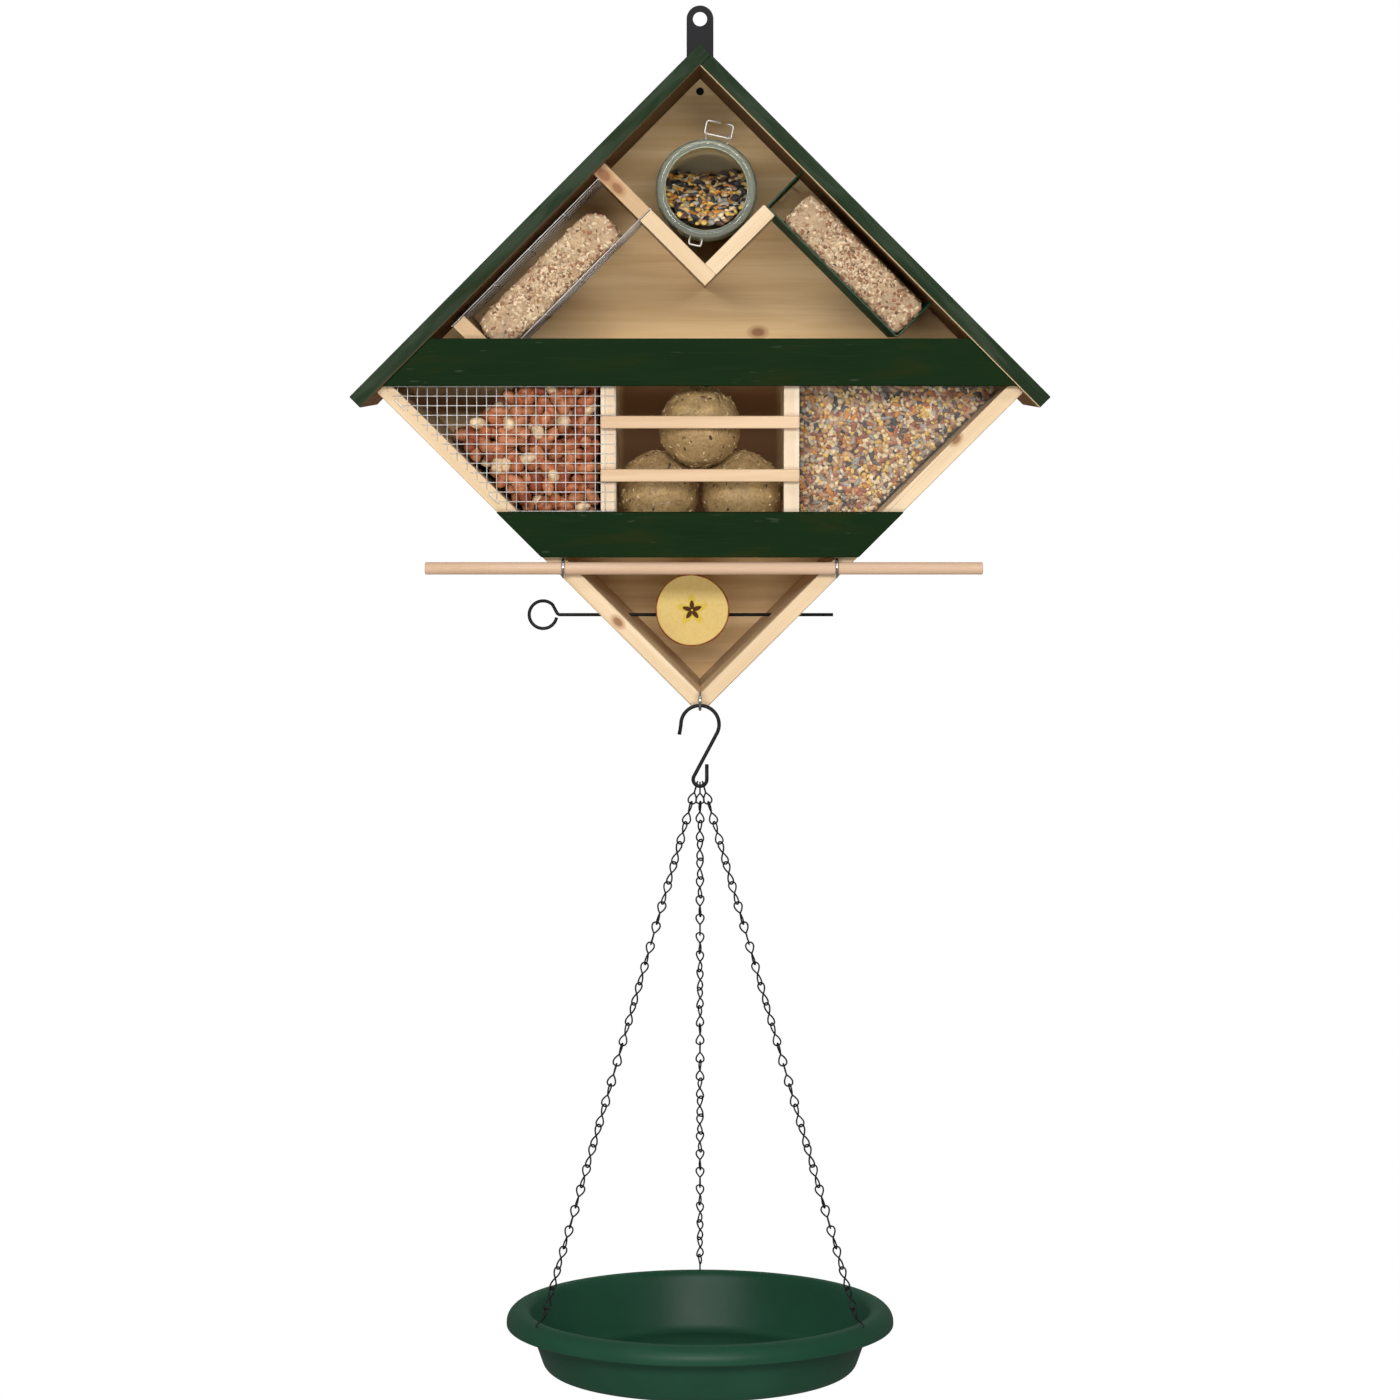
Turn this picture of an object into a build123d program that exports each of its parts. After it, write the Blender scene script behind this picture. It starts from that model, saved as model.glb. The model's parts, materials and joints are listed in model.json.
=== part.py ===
from build123d import *
import math
import os

# Bird feeding station: a square wooden house hung by one corner, with food in every
# storey, and a water dish that hangs from its lowest point on a hook and three chains.
# Millimetres. X runs to the right, Y back to the wall and Z up. The origin is the centre
# of the hole in the hanger plate. A distance called forward is measured from there to the front.

os.makedirs("parts", exist_ok=True)

# Boards of the house
board = 10.0
back_board = 8.0
front_board = 9.0
inner_depth = 130.0
ridge_drop = 26.0
roof_overhang = 11.0
eave_overhang = 14.0
house_height = 430.0
tip_flat = 9.6

# Heights of the storeys, above or below the house's two outer corners
upper_rail_rise = 34.6
upper_rail_height = 30.5
lower_rail_drop = 76.7
lower_rail_height = 29.2
floor_drop = 92.5
divider_rise = 30.1

# Middle storey
divider_gap = 108.0
stick_size = 8.0
stick_drops = (19.0, 53.2)
fat_ball_radius = 26.5
fat_ball_sides = 12
fat_ball_slope = 30
food_gap = 0.3

# Peanut net and nuts
net_pitch = 6.35
net_wire = 0.9
net_edge = 4.0
divider_cover = 9.5
nut_height_side = 68.6
nut_height_middle = 83.8
nut_height_rail = 97.6
nut_height_divider = 108.6
nut_middle_x = 134.6
nut_rail_x = 114.0

# Seed window and seed
window_setback = 40.0
window_sheet = 2.5
window_rise = 4.1
window_lift = 13.5
groove_depth = 3.0
groove_play = 0.15
tray_seed_height = 11.0

# Hanger plate and its rivet
hanger_sheet = 2.0
hanger_width = 18.0
hanger_hole_radius = 4.75
hanger_length = 64.0
rivet_drop = 48.6
rivet_radius = 1.75
rivet_head_radius = 2.6
rivet_head = 1.2
hole_play = 0.1

# Jar cradle, along the roof from the inner ridge
left_arm_start = 86.5
right_arm_start = 91.0
upper_block_height = 41.0

# Suet holders
suet_net_wire = 1.0
suet_net_pitch = 31.75
left_end_block_start = 219.5
left_upper_net_drop = 4.0
left_suet_length = 109.0
left_suet_height = 27.8
right_suet_length = 104.0
right_suet_height = 26.0
suet_depth = 108.0
suet_front = 6.0
suet_rounding = 10.0
basket_wire = 1.2
basket_start = 93.0
basket_length = 119.0
basket_height = 33.0

# Jar
jar_radius = 33.0
jar_length = 100.0
jar_wall = 3.0
jar_rim_radius = 31.7
jar_mouth_radius = 26.2
jar_neck_radius = 29.3
jar_setback = 6.0
jar_lean = 1.3
jar_turn = 12.0
shoulder_start = 76.0
neck_start = 84.0
neck_length = 5.0
jar_wire = 1.6
wire_play = 0.3
collar_sides = 24
clasp_width = 17.5
clasp_height = 8.6
clasp_opening = 3.5
clasp_lift = 3.4
hinge_loop_width = 8.0
hinge_loop_reach = 3.5
jar_seed_back = 10.0
jar_seed_front = 22.0
jar_seed_sides = 24

# Screw eyes, perch, skewer and apple
eye_ring_radius = 5.5
eye_wire = 2.0
eye_neck = 1.0
eye_shank = 12.0
ring_mouth = 30.0
ring_flats = 10
perch_radius = 4.0
perch_chamfer = 0.8
perch_length = 359.0
perch_shift = 2.5
perch_sag = 0.2
wire_sides = 6
skewer_wire = 2.2
skewer_forward = 69.0
skewer_lift = 60.6
skewer_right = 88.0
skewer_left = 94.6
skewer_ring_radius = 9.15
skewer_play = 0.4
apple_radius = 25.0
apple_depth = 27.0
apple_cut_forward = 87.0
apple_shift = -5.2
apple_lift = 4.0
apple_sides = 16
apple_slopes = (25, 50, 75)

# Hook
hook_wire = 2.4
hook_bow_radius = 12.3
hook_loop_radius = 4.4
hook_length = 35.6
hook_tip_length = 6.5
hook_tip_flare = 1.1
hook_loop_tip = 9.8
ring_play = 0.3

# Chains and dish
chain_wire = 1.1
chain_wire_sides = 4
chain_pitch = 13.7
chain_play = 0.3
hook_play = 0.7
chain_spread = 2.3
chain_twist = 13.0
link_width = 5.2
dish_drop = 340.5
dish_height = 41.0
dish_rim_radius = 126.0
dish_mouth_radius = 114.0
dish_wall = 2.5
dish_base_radius = 100.5
rim_lip = 11.5
rim_slope = 4.0
rim_crown_radius = 120.5
crown_flat = 5.0
rim_hole_radius = 1.6
chain_end_radius = 115.5
chain_end_lift = 4.0
rim_hook_foot = 2.0

# Levels worked out from the driving dimensions
root_two = math.sqrt(2.0)
ridge = -ridge_drop
under_ridge = ridge - board * root_two
tip_outer = ridge - house_height
tip_inner = tip_outer + board * root_two
tip_cut = tip_outer + tip_flat / 2
corner_x = (under_ridge - tip_outer) / 2
corner_z = tip_outer + corner_x
inner_x = (under_ridge - tip_inner) / 2
inner_z = tip_inner + inner_x
roof_length = corner_x * root_two + eave_overhang
floor_top = corner_z - floor_drop
upper_rail_z = corner_z + upper_rail_rise
upper_rail_foot = upper_rail_z - upper_rail_height
lower_rail_z = corner_z - lower_rail_drop
lower_rail_foot = lower_rail_z - lower_rail_height
divider_inner = divider_gap / 2
divider_outer = divider_inner + board

# Forward distances
back_face = hanger_sheet / 2
panel_front = back_face + back_board
board_front = panel_front + inner_depth
roof_front = board_front + roof_overhang
window_front = board_front - window_setback
window_back = window_front - window_sheet
ring_forward = board_front + eye_neck + eye_wire / 2 + eye_ring_radius


def front(forward):
    """Plane that faces the viewer: its x is X, its y is Z and it extrudes to the front."""
    return Plane.XZ.offset(forward)


def roof_half(z):
    """Half-width under the roof at a height."""
    return under_ridge - z


def side_outer(z):
    """Half-width over the side boards at a height."""
    return z - tip_outer


def side_inner(z):
    """Half-width between the side boards at a height."""
    return z - tip_inner


# Planes under each roof board: x runs down the slope from the inner ridge, y into the house.
# The left one extrudes to the front, the right one to the back.
left_under = Plane(origin=(0, 0, under_ridge), x_dir=(-1, 0, -1), z_dir=(0, -1, 0))
right_under = Plane(origin=(0, 0, under_ridge), x_dir=(1, 0, -1), z_dir=(0, 1, 0))


def slope_rectangle(start, drop, length, height):
    """Rectangle in a roof plane from a distance down the slope and a drop under the roof."""
    with Locations((start, drop)):
        Rectangle(length, height, align=(Align.MIN, Align.MIN))


def net_face(length, depth, pitch, wire):
    """Rectangle of welded net with a wire along every edge and whole gaps between."""
    columns = max(1, round((length - wire) / pitch))
    rows = max(1, round((depth - wire) / pitch))
    column_step = (length - wire) / columns
    row_step = (depth - wire) / rows
    Rectangle(length, depth)
    with GridLocations(column_step, row_step, columns, rows):
        Rectangle(column_step - wire, row_step - wire, mode=Mode.SUBTRACT)


def bent_wire(points, thickness, sides):
    """Wire of even thickness through the points, with square mitred bends."""
    with BuildPart() as wire:
        with BuildLine() as route:
            Polyline(*points)
        with BuildSketch(Plane(origin=route.line @ 0, z_dir=route.line % 0)):
            RegularPolygon(thickness / 2, sides)
        sweep(transition=Transition.RIGHT)
    return wire.part


# Hanger plate behind the ridge, held by one rivet through the back panel
with BuildPart() as hanger_plate:
    with BuildSketch(front(-back_face)):
        Circle(hanger_width / 2)
        Rectangle(hanger_width, hanger_length, align=(Align.CENTER, Align.MAX))
        Circle(hanger_hole_radius, mode=Mode.SUBTRACT)
        with Locations((0, -rivet_drop)):
            RegularPolygon(rivet_radius + hole_play, wire_sides, mode=Mode.SUBTRACT)
    extrude(amount=hanger_sheet)
hanger_plate.part.label = "hanger_plate"
export_step(hanger_plate.part, "parts/hanger_plate.step")

with BuildPart() as hanger_rivet:
    with BuildSketch(front(-back_face)):
        with Locations((0, -rivet_drop)):
            RegularPolygon(rivet_radius, wire_sides)
    extrude(amount=panel_front + back_face)
    with BuildSketch(front(panel_front)):
        with Locations((0, -rivet_drop)):
            RegularPolygon(rivet_head_radius, 2 * wire_sides)
    extrude(amount=rivet_head)
hanger_rivet.part.label = "hanger_rivet"
export_step(hanger_rivet.part, "parts/hanger_rivet.step")

# Roof
with BuildPart() as roof_left:
    with BuildSketch(left_under.offset(back_face)):
        slope_rectangle(-board, -board, roof_length + board, board)
    extrude(amount=roof_front - back_face)
roof_left.part.label = "roof_left"
export_step(roof_left.part, "parts/roof_left.step")

with BuildPart() as roof_right:
    with BuildSketch(right_under.offset(-back_face)):
        slope_rectangle(0, -board, roof_length, board)
    extrude(amount=back_face - roof_front)
roof_right.part.label = "roof_right"
export_step(roof_right.part, "parts/roof_right.step")

# Back panel, bored for the hanger rivet
with BuildPart() as back_panel:
    with BuildSketch(front(back_face)):
        Polygon(
            (0, under_ridge),
            (corner_x, corner_z),
            (tip_flat / 2, tip_cut),
            (-tip_flat / 2, tip_cut),
            (-corner_x, corner_z),
            align=None,
        )
        with Locations((0, -rivet_drop)):
            RegularPolygon(rivet_radius + hole_play, wire_sides, mode=Mode.SUBTRACT)
    extrude(amount=back_board)
back_panel.part.label = "back_panel"
export_step(back_panel.part, "parts/back_panel.step")

# Seed window, and the wider copy that cuts its grooves
window_head = corner_z + window_rise
window_foot = floor_top + window_lift
groove_reach = groove_depth * root_two


def window_outline(play):
    """Pane from the divider's groove to the side board's groove, grown by the play."""
    left = divider_outer - groove_depth - play
    Polygon(
        (left, window_foot - play),
        (side_inner(window_foot) + groove_reach + play, window_foot - play),
        (side_inner(window_head) + groove_reach + play, window_head),
        (left, window_head),
        align=None,
    )


with BuildPart() as seed_window:
    with BuildSketch(front(window_back)):
        window_outline(0)
    extrude(amount=window_sheet)
seed_window.part.label = "seed_window"
export_step(seed_window.part, "parts/seed_window.step")

with BuildPart() as window_groove:
    with BuildSketch(front(window_back - groove_play)):
        window_outline(groove_play)
        with Locations(((divider_outer + corner_x) / 2, window_head)):
            Rectangle(corner_x + board, board, align=(Align.CENTER, Align.MIN))
    extrude(amount=window_sheet + 2 * groove_play)

# Side boards, mitred at the point, bored for the skewer and the screw eyes
eye_z = (tip_inner + tip_cut) / 2
perch_eye_z = lower_rail_foot - eye_ring_radius - eye_wire / 2 - ring_play
perch_eye_x = (side_outer(perch_eye_z) + side_inner(perch_eye_z)) / 2
skewer_z = tip_outer + skewer_lift
eye_places = (
    (-perch_eye_x, perch_eye_z),
    (perch_eye_x, perch_eye_z),
    (0, eye_z),
)

for side, sign in (("left", -1), ("right", 1)):
    with BuildPart() as side_board:
        with BuildSketch(front(panel_front)):
            Polygon(
                (0, tip_inner),
                (0, tip_cut),
                (sign * tip_flat / 2, tip_cut),
                (sign * corner_x, corner_z),
                (sign * inner_x, inner_z),
                align=None,
            )
        extrude(amount=inner_depth)
        with BuildSketch(front(board_front)):
            with Locations(*eye_places):
                RegularPolygon(eye_wire / 2 + hole_play, wire_sides, major_radius=False)
        extrude(amount=-eye_shank, mode=Mode.SUBTRACT)
        with BuildSketch(Plane.YZ):
            with Locations((-skewer_forward, skewer_z)):
                Circle(skewer_wire / 2 + skewer_play)
        extrude(amount=corner_x, both=True, mode=Mode.SUBTRACT)
        if sign > 0:
            add(window_groove.part, mode=Mode.SUBTRACT)
    side_board.part.label = f"side_board_{side}"
    export_step(side_board.part, f"parts/side_board_{side}.step")

# Front boards
with BuildPart() as upper_front_board:
    with BuildSketch(front(board_front)):
        Polygon(
            (-roof_half(upper_rail_z), upper_rail_z),
            (roof_half(upper_rail_z), upper_rail_z),
            (roof_half(upper_rail_foot), upper_rail_foot),
            (-roof_half(upper_rail_foot), upper_rail_foot),
            align=None,
        )
    extrude(amount=front_board)
upper_front_board.part.label = "upper_front_board"
export_step(upper_front_board.part, "parts/upper_front_board.step")

with BuildPart() as lower_front_board:
    with BuildSketch(front(board_front)):
        Polygon(
            (-side_outer(lower_rail_z), lower_rail_z),
            (side_outer(lower_rail_z), lower_rail_z),
            (side_outer(lower_rail_foot), lower_rail_foot),
            (-side_outer(lower_rail_foot), lower_rail_foot),
            align=None,
        )
    extrude(amount=front_board)
lower_front_board.part.label = "lower_front_board"
export_step(lower_front_board.part, "parts/lower_front_board.step")

# Floor shelf between the side boards
floor_foot = floor_top - board
with BuildPart() as floor_shelf:
    with BuildSketch(front(panel_front)):
        Polygon(
            (-side_inner(floor_top), floor_top),
            (side_inner(floor_top), floor_top),
            (side_inner(floor_foot), floor_foot),
            (-side_inner(floor_foot), floor_foot),
            align=None,
        )
    extrude(amount=inner_depth)
floor_shelf.part.label = "floor_shelf"
export_step(floor_shelf.part, "parts/floor_shelf.step")

# Dividers: the right one is grooved for the window
divider_height = corner_z + divider_rise - floor_top
for side, sign in (("left", -1), ("right", 1)):
    with BuildPart() as divider:
        with BuildSketch(front(panel_front)):
            with Locations((sign * (divider_inner + board / 2), floor_top)):
                Rectangle(board, divider_height, align=(Align.CENTER, Align.MIN))
        extrude(amount=inner_depth)
        if sign > 0:
            add(window_groove.part, mode=Mode.SUBTRACT)
    divider.part.label = f"divider_{side}"
    export_step(divider.part, f"parts/divider_{side}.step")

# Guard sticks across the middle compartment, notched at the left end over the net
for name, drop in zip(("upper", "lower"), stick_drops):
    with BuildPart() as guard_stick:
        with BuildSketch(front(board_front)):
            with Locations((0, corner_z - drop)):
                Rectangle(2 * divider_outer, stick_size)
        extrude(amount=stick_size)
        with BuildSketch(front(board_front)):
            with Locations((-divider_outer, corner_z - drop)):
                Rectangle(2 * (divider_cover + groove_play + hole_play), 2 * stick_size)
        extrude(amount=net_wire + hole_play, mode=Mode.SUBTRACT)
    guard_stick.part.label = f"guard_stick_{name}"
    export_step(guard_stick.part, f"parts/guard_stick_{name}.step")

# Welded net in front of the peanuts, from the side board's front edge to the divider's
net_top = upper_rail_foot - food_gap
net_foot = lower_rail_z + food_gap
net_right = divider_cover - divider_outer
net_rows = math.floor((net_top - net_foot - net_wire) / net_pitch)
net_row_step = (net_top - net_foot - net_wire) / net_rows
net_columns = math.ceil((side_outer(net_top) - divider_inner) / net_pitch)
net_gap_width = net_pitch - net_wire
net_gap_height = net_row_step - net_wire
net_gaps = []
for row in range(net_rows):
    gap_foot = net_foot + net_wire + row * net_row_step
    row_limit = side_outer(gap_foot) - net_edge - net_wire * root_two
    for column in range(net_columns):
        gap_right = net_right - net_wire - column * net_pitch
        if net_gap_width - gap_right < row_limit:
            net_gaps.append((gap_right - net_gap_width / 2, gap_foot + net_gap_height / 2))

with BuildPart() as peanut_net:
    with BuildSketch(front(board_front)):
        Polygon(
            (food_gap - min(side_outer(net_top) - net_edge, roof_half(net_top)), net_top),
            (net_right, net_top),
            (net_right, net_foot),
            (net_edge - side_outer(net_foot), net_foot),
            align=None,
        )
        with Locations(*net_gaps):
            Rectangle(net_gap_width, net_gap_height, mode=Mode.SUBTRACT)
    extrude(amount=net_wire)
peanut_net.part.label = "peanut_net"
export_step(peanut_net.part, "parts/peanut_net.step")

# Peanuts, heaped against the divider
fill_foot = floor_top + food_gap
side_gap = food_gap * root_two
nut_side_z = floor_top + nut_height_side
with BuildPart() as peanut_fill:
    with BuildSketch(front(panel_front + food_gap)):
        Polygon(
            (-divider_outer - food_gap, fill_foot),
            (-divider_outer - food_gap, floor_top + nut_height_divider),
            (-nut_rail_x, floor_top + nut_height_rail),
            (-nut_middle_x, floor_top + nut_height_middle),
            (side_gap - side_inner(nut_side_z), nut_side_z),
            (side_gap - side_inner(fill_foot), fill_foot),
            align=None,
        )
    extrude(amount=inner_depth - 2 * food_gap)
peanut_fill.part.label = "peanut_fill"
export_step(peanut_fill.part, "parts/peanut_fill.step")

# Seed behind the window, running out under it into the tray
seed_left = divider_outer + food_gap
seed_top = window_head - food_gap
tray_top = floor_top + tray_seed_height
with BuildPart() as seed_fill:
    with BuildSketch(front(panel_front + food_gap)):
        Polygon(
            (seed_left, fill_foot),
            (side_inner(fill_foot) - side_gap, fill_foot),
            (side_inner(seed_top) - side_gap, seed_top),
            (seed_left, seed_top),
            align=None,
        )
    extrude(amount=window_back - panel_front - 2 * food_gap)
    with BuildSketch(front(window_back - 2 * food_gap)):
        Polygon(
            (seed_left, fill_foot),
            (side_inner(fill_foot) - side_gap, fill_foot),
            (side_inner(tray_top) - side_gap, tray_top),
            (seed_left, tray_top),
            align=None,
        )
    extrude(amount=board_front - window_back + food_gap)
seed_fill.part.label = "seed_fill"
export_step(seed_fill.part, "parts/seed_fill.step")

# Fat balls: two on the floor between the dividers and one on top of them
ball_side = divider_inner - fat_ball_radius - food_gap
ball_forward = board_front - fat_ball_radius - food_gap
ball_floor = floor_top + fat_ball_radius + food_gap
contact_turn = math.radians(360 / fat_ball_sides)
ball_lean = ball_side * math.tan(contact_turn)
ball_reach = ball_side / math.cos(contact_turn)
ball_rise = math.sqrt((2 * fat_ball_radius + food_gap) ** 2 - ball_reach**2)
contact_slope = math.degrees(math.atan2(ball_rise, ball_reach))
ball_slopes = (-contact_slope, -fat_ball_slope, fat_ball_slope, contact_slope)
fat_ball_places = {
    "left": (-ball_side, ball_lean - ball_forward, ball_floor),
    "right": (ball_side, ball_lean - ball_forward, ball_floor),
    "top": (0, -ball_forward, ball_floor + ball_rise),
}


def cut_flats(middle, axis, side, reach, sides, slopes):
    """Cuts rings of flats round an axis, each one square to a ray from the middle at a slope."""
    for slope in slopes:
        for number in range(sides):
            around = side.rotate(Axis((0, 0, 0), axis), 360 * number / sides)
            ray = around * math.cos(math.radians(slope)) + axis * math.sin(math.radians(slope))
            split(bisect_by=Plane(origin=middle + ray * reach, z_dir=ray), keep=Keep.BOTTOM)


with BuildPart() as ball_body:
    with BuildSketch():
        RegularPolygon(
            fat_ball_radius, fat_ball_sides, major_radius=False, rotation=180 / fat_ball_sides
        )
    extrude(amount=fat_ball_radius, both=True)
    cut_flats(
        Vector(), Vector(0, 0, 1), Vector(1, 0, 0), fat_ball_radius, fat_ball_sides, ball_slopes
    )

for name, place in fat_ball_places.items():
    with BuildPart() as fat_ball:
        with Locations(place):
            add(ball_body.part)
    fat_ball.part.label = f"fat_ball_{name}"
    export_step(fat_ball.part, f"parts/fat_ball_{name}.step")

# Jar cradle: the left arm runs through to the point, the right one butts on it
net_level = upper_block_height + suet_net_wire
with BuildPart() as cradle_block_left:
    with BuildSketch(left_under.offset(panel_front)):
        slope_rectangle(left_arm_start, 0, board, upper_block_height)
    extrude(amount=inner_depth)
cradle_block_left.part.label = "cradle_block_left"
export_step(cradle_block_left.part, "parts/cradle_block_left.step")

with BuildPart() as cradle_arm_left:
    with BuildSketch(left_under.offset(panel_front)):
        slope_rectangle(left_arm_start, net_level, board, right_arm_start + board - net_level)
    extrude(amount=inner_depth)
cradle_arm_left.part.label = "cradle_arm_left"
export_step(cradle_arm_left.part, "parts/cradle_arm_left.step")

with BuildPart() as cradle_arm_right:
    with BuildSketch(right_under.offset(-panel_front)):
        slope_rectangle(right_arm_start, basket_height, board, left_arm_start - basket_height)
    extrude(amount=-inner_depth)
cradle_arm_right.part.label = "cradle_arm_right"
export_step(cradle_arm_right.part, "parts/cradle_arm_right.step")

# Left suet holder: a lower net clamped in the cradle arm, an upper net and an end block
left_end = left_end_block_start + board
middle_depth = -(panel_front + inner_depth / 2)


def under_left(start, drop):
    """Point in the left roof plane, half way along the inner depth."""
    point = left_under.from_local_coords((start, drop, 0))
    return (point.X, middle_depth, point.Z)


def under_right(start, drop):
    """Point in the right roof plane, half way along the inner depth."""
    point = right_under.from_local_coords((start, drop, 0))
    return (point.X, middle_depth, point.Z)


left_down = (-1, 0, -1)
left_inward = (1, 0, -1)
right_down = (1, 0, -1)
right_inward = (-1, 0, -1)

with BuildPart() as suet_net_lower:
    lower_middle = under_left((left_arm_start + left_end) / 2, upper_block_height)
    with BuildSketch(Plane(origin=lower_middle, x_dir=left_down, z_dir=left_inward)):
        net_face(left_end - left_arm_start, inner_depth, suet_net_pitch, suet_net_wire)
    extrude(amount=suet_net_wire)
suet_net_lower.part.label = "suet_net_lower"
export_step(suet_net_lower.part, "parts/suet_net_lower.step")

upper_net_start = left_arm_start + board
with BuildPart() as suet_net_upper:
    upper_middle = under_left((upper_net_start + left_end) / 2, left_upper_net_drop)
    with BuildSketch(Plane(origin=upper_middle, x_dir=left_down, z_dir=left_inward)):
        net_face(left_end - upper_net_start, inner_depth, suet_net_pitch, suet_net_wire)
    extrude(amount=suet_net_wire)
suet_net_upper.part.label = "suet_net_upper"
export_step(suet_net_upper.part, "parts/suet_net_upper.step")

end_block_drop = left_upper_net_drop + suet_net_wire
with BuildPart() as suet_end_block:
    with BuildSketch(left_under.offset(panel_front)):
        slope_rectangle(left_end_block_start, end_block_drop, board, upper_block_height - end_block_drop)
    extrude(amount=inner_depth)
suet_end_block.part.label = "suet_end_block"
export_step(suet_end_block.part, "parts/suet_end_block.step")

# Right suet holder: net bent to a U, its two short sides standing up to the roof
with BuildPart() as suet_basket:
    floor_middle = under_right(basket_start + basket_length / 2, basket_height - basket_wire)
    with BuildSketch(Plane(origin=floor_middle, x_dir=right_down, z_dir=right_inward)):
        net_face(basket_length, inner_depth, suet_net_pitch, basket_wire)
    extrude(amount=basket_wire)
    for wall_start in (basket_start, basket_start + basket_length - basket_wire):
        wall_middle = under_right(wall_start, basket_height / 2)
        with BuildSketch(Plane(origin=wall_middle, x_dir=right_inward, z_dir=right_down)):
            net_face(basket_height, inner_depth, suet_net_pitch, basket_wire)
        extrude(amount=basket_wire)
suet_basket.part.label = "suet_basket"
export_step(suet_basket.part, "parts/suet_basket.step")

# Suet blocks, slid down to the lower end of their holders
suet_back = board_front - suet_front - suet_depth
left_suet_end = left_end_block_start - food_gap
left_suet_drop = upper_block_height - food_gap - left_suet_height
with BuildPart() as suet_cake_left:
    with BuildSketch(left_under.offset(suet_back)):
        slope_rectangle(left_suet_end - left_suet_length, left_suet_drop, left_suet_length, left_suet_height)
        fillet(vertices().sort_by(Axis((0, 0, 0), left_down))[:2], suet_rounding)
    extrude(amount=suet_depth)
suet_cake_left.part.label = "suet_cake_left"
export_step(suet_cake_left.part, "parts/suet_cake_left.step")

right_suet_end = basket_start + basket_length - basket_wire - food_gap
right_suet_drop = basket_height - basket_wire - food_gap - right_suet_height
with BuildPart() as suet_cake_right:
    with BuildSketch(right_under.offset(-suet_back)):
        slope_rectangle(
            right_suet_end - right_suet_length, right_suet_drop, right_suet_length, right_suet_height
        )
        fillet(vertices().sort_by(Axis((0, 0, 0), right_down))[:2], suet_rounding)
    extrude(amount=-suet_depth)
suet_cake_right.part.label = "suet_cake_right"
export_step(suet_cake_right.part, "parts/suet_cake_right.step")

# Jar lying in the cradle, its mouth to the front. Its plane has the radius as x and the way
# from the base to the mouth as y.
jar_down_left = left_arm_start - jar_radius - wire_play - jar_lean
jar_down_right = right_arm_start - jar_radius - wire_play
jar_x = (jar_down_right - jar_down_left) / root_two
jar_z = under_ridge - (jar_down_left + jar_down_right) / root_two
jar_base_forward = board_front - jar_setback - jar_length
jar_plane = Plane(origin=(jar_x, -jar_base_forward, jar_z), x_dir=(1, 0, 0), z_dir=(0, 0, -1))
jar_axis = Axis((jar_x, -jar_base_forward, jar_z), (0, -1, 0))
neck_end = neck_start + neck_length
jar_inside = jar_radius - jar_wall

with BuildPart() as jar_glass:
    with BuildSketch(jar_plane):
        Polygon(
            (0, 0),
            (jar_radius, 0),
            (jar_radius, shoulder_start),
            (jar_neck_radius, neck_start),
            (jar_neck_radius, neck_end),
            (jar_rim_radius, neck_end),
            (jar_rim_radius, jar_length),
            (jar_mouth_radius, jar_length),
            (jar_mouth_radius, neck_start),
            (jar_inside, shoulder_start),
            (jar_inside, jar_wall),
            (0, jar_wall),
            align=None,
        )
    revolve(axis=jar_axis)
jar_glass.part.label = "jar_glass"
export_step(jar_glass.part, "parts/jar_glass.step")

# Seed in the jar, sloping down to the mouth
with BuildPart() as jar_seed_fill:
    with BuildSketch(front(jar_base_forward + jar_wall + food_gap)):
        with Locations((jar_x, jar_z)):
            RegularPolygon(jar_inside - food_gap, jar_seed_sides)
    extrude(amount=shoulder_start - jar_wall - 2 * food_gap)
    with BuildSketch(front(jar_base_forward + jar_wall + food_gap)):
        with Locations((jar_x, jar_z)):
            RegularPolygon(jar_mouth_radius - food_gap, jar_seed_sides)
    extrude(amount=jar_length - 2 * jar_wall)
    with BuildSketch(Plane.YZ):
        Polygon(
            (-jar_base_forward, jar_z + jar_seed_back),
            (-jar_base_forward - jar_length, jar_z - jar_seed_front),
            (-jar_base_forward - jar_length, jar_z + jar_radius),
            (-jar_base_forward, jar_z + jar_radius),
            align=None,
        )
    extrude(amount=2 * jar_radius, both=True, mode=Mode.SUBTRACT)
jar_seed_fill.part.label = "jar_seed_fill"
export_step(jar_seed_fill.part, "parts/jar_seed_fill.step")

# Wire collar in the jar's neck, with two eyes for the clasp above and a hinge loop below
collar_radius = jar_neck_radius + wire_play + jar_wire / 2
collar_forward = jar_base_forward + (neck_start + neck_end) / 2
collar_outer = (collar_radius + jar_wire / 2) / math.cos(math.pi / collar_sides)
collar_inner = (collar_radius - jar_wire / 2) / math.cos(math.pi / collar_sides)
clasp_pivot = jar_rim_radius + clasp_lift
eye_length = jar_wire
eye_radius = jar_wire + wire_play
eye_offset = clasp_width / 2 - jar_wire / 2 - wire_play - eye_length / 2
turn_angle = math.radians(jar_turn)
collar_plane = Plane(
    origin=(jar_x, -collar_forward, jar_z),
    x_dir=(math.cos(turn_angle), 0, -math.sin(turn_angle)),
    z_dir=(0, -1, 0),
)


def on_jar(across, out, forward=0):
    """Point beside the jar's neck: across its turned vertical, out from its axis, to the front."""
    point = collar_plane.from_local_coords((across, out, forward))
    return (point.X, point.Y, point.Z)


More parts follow.
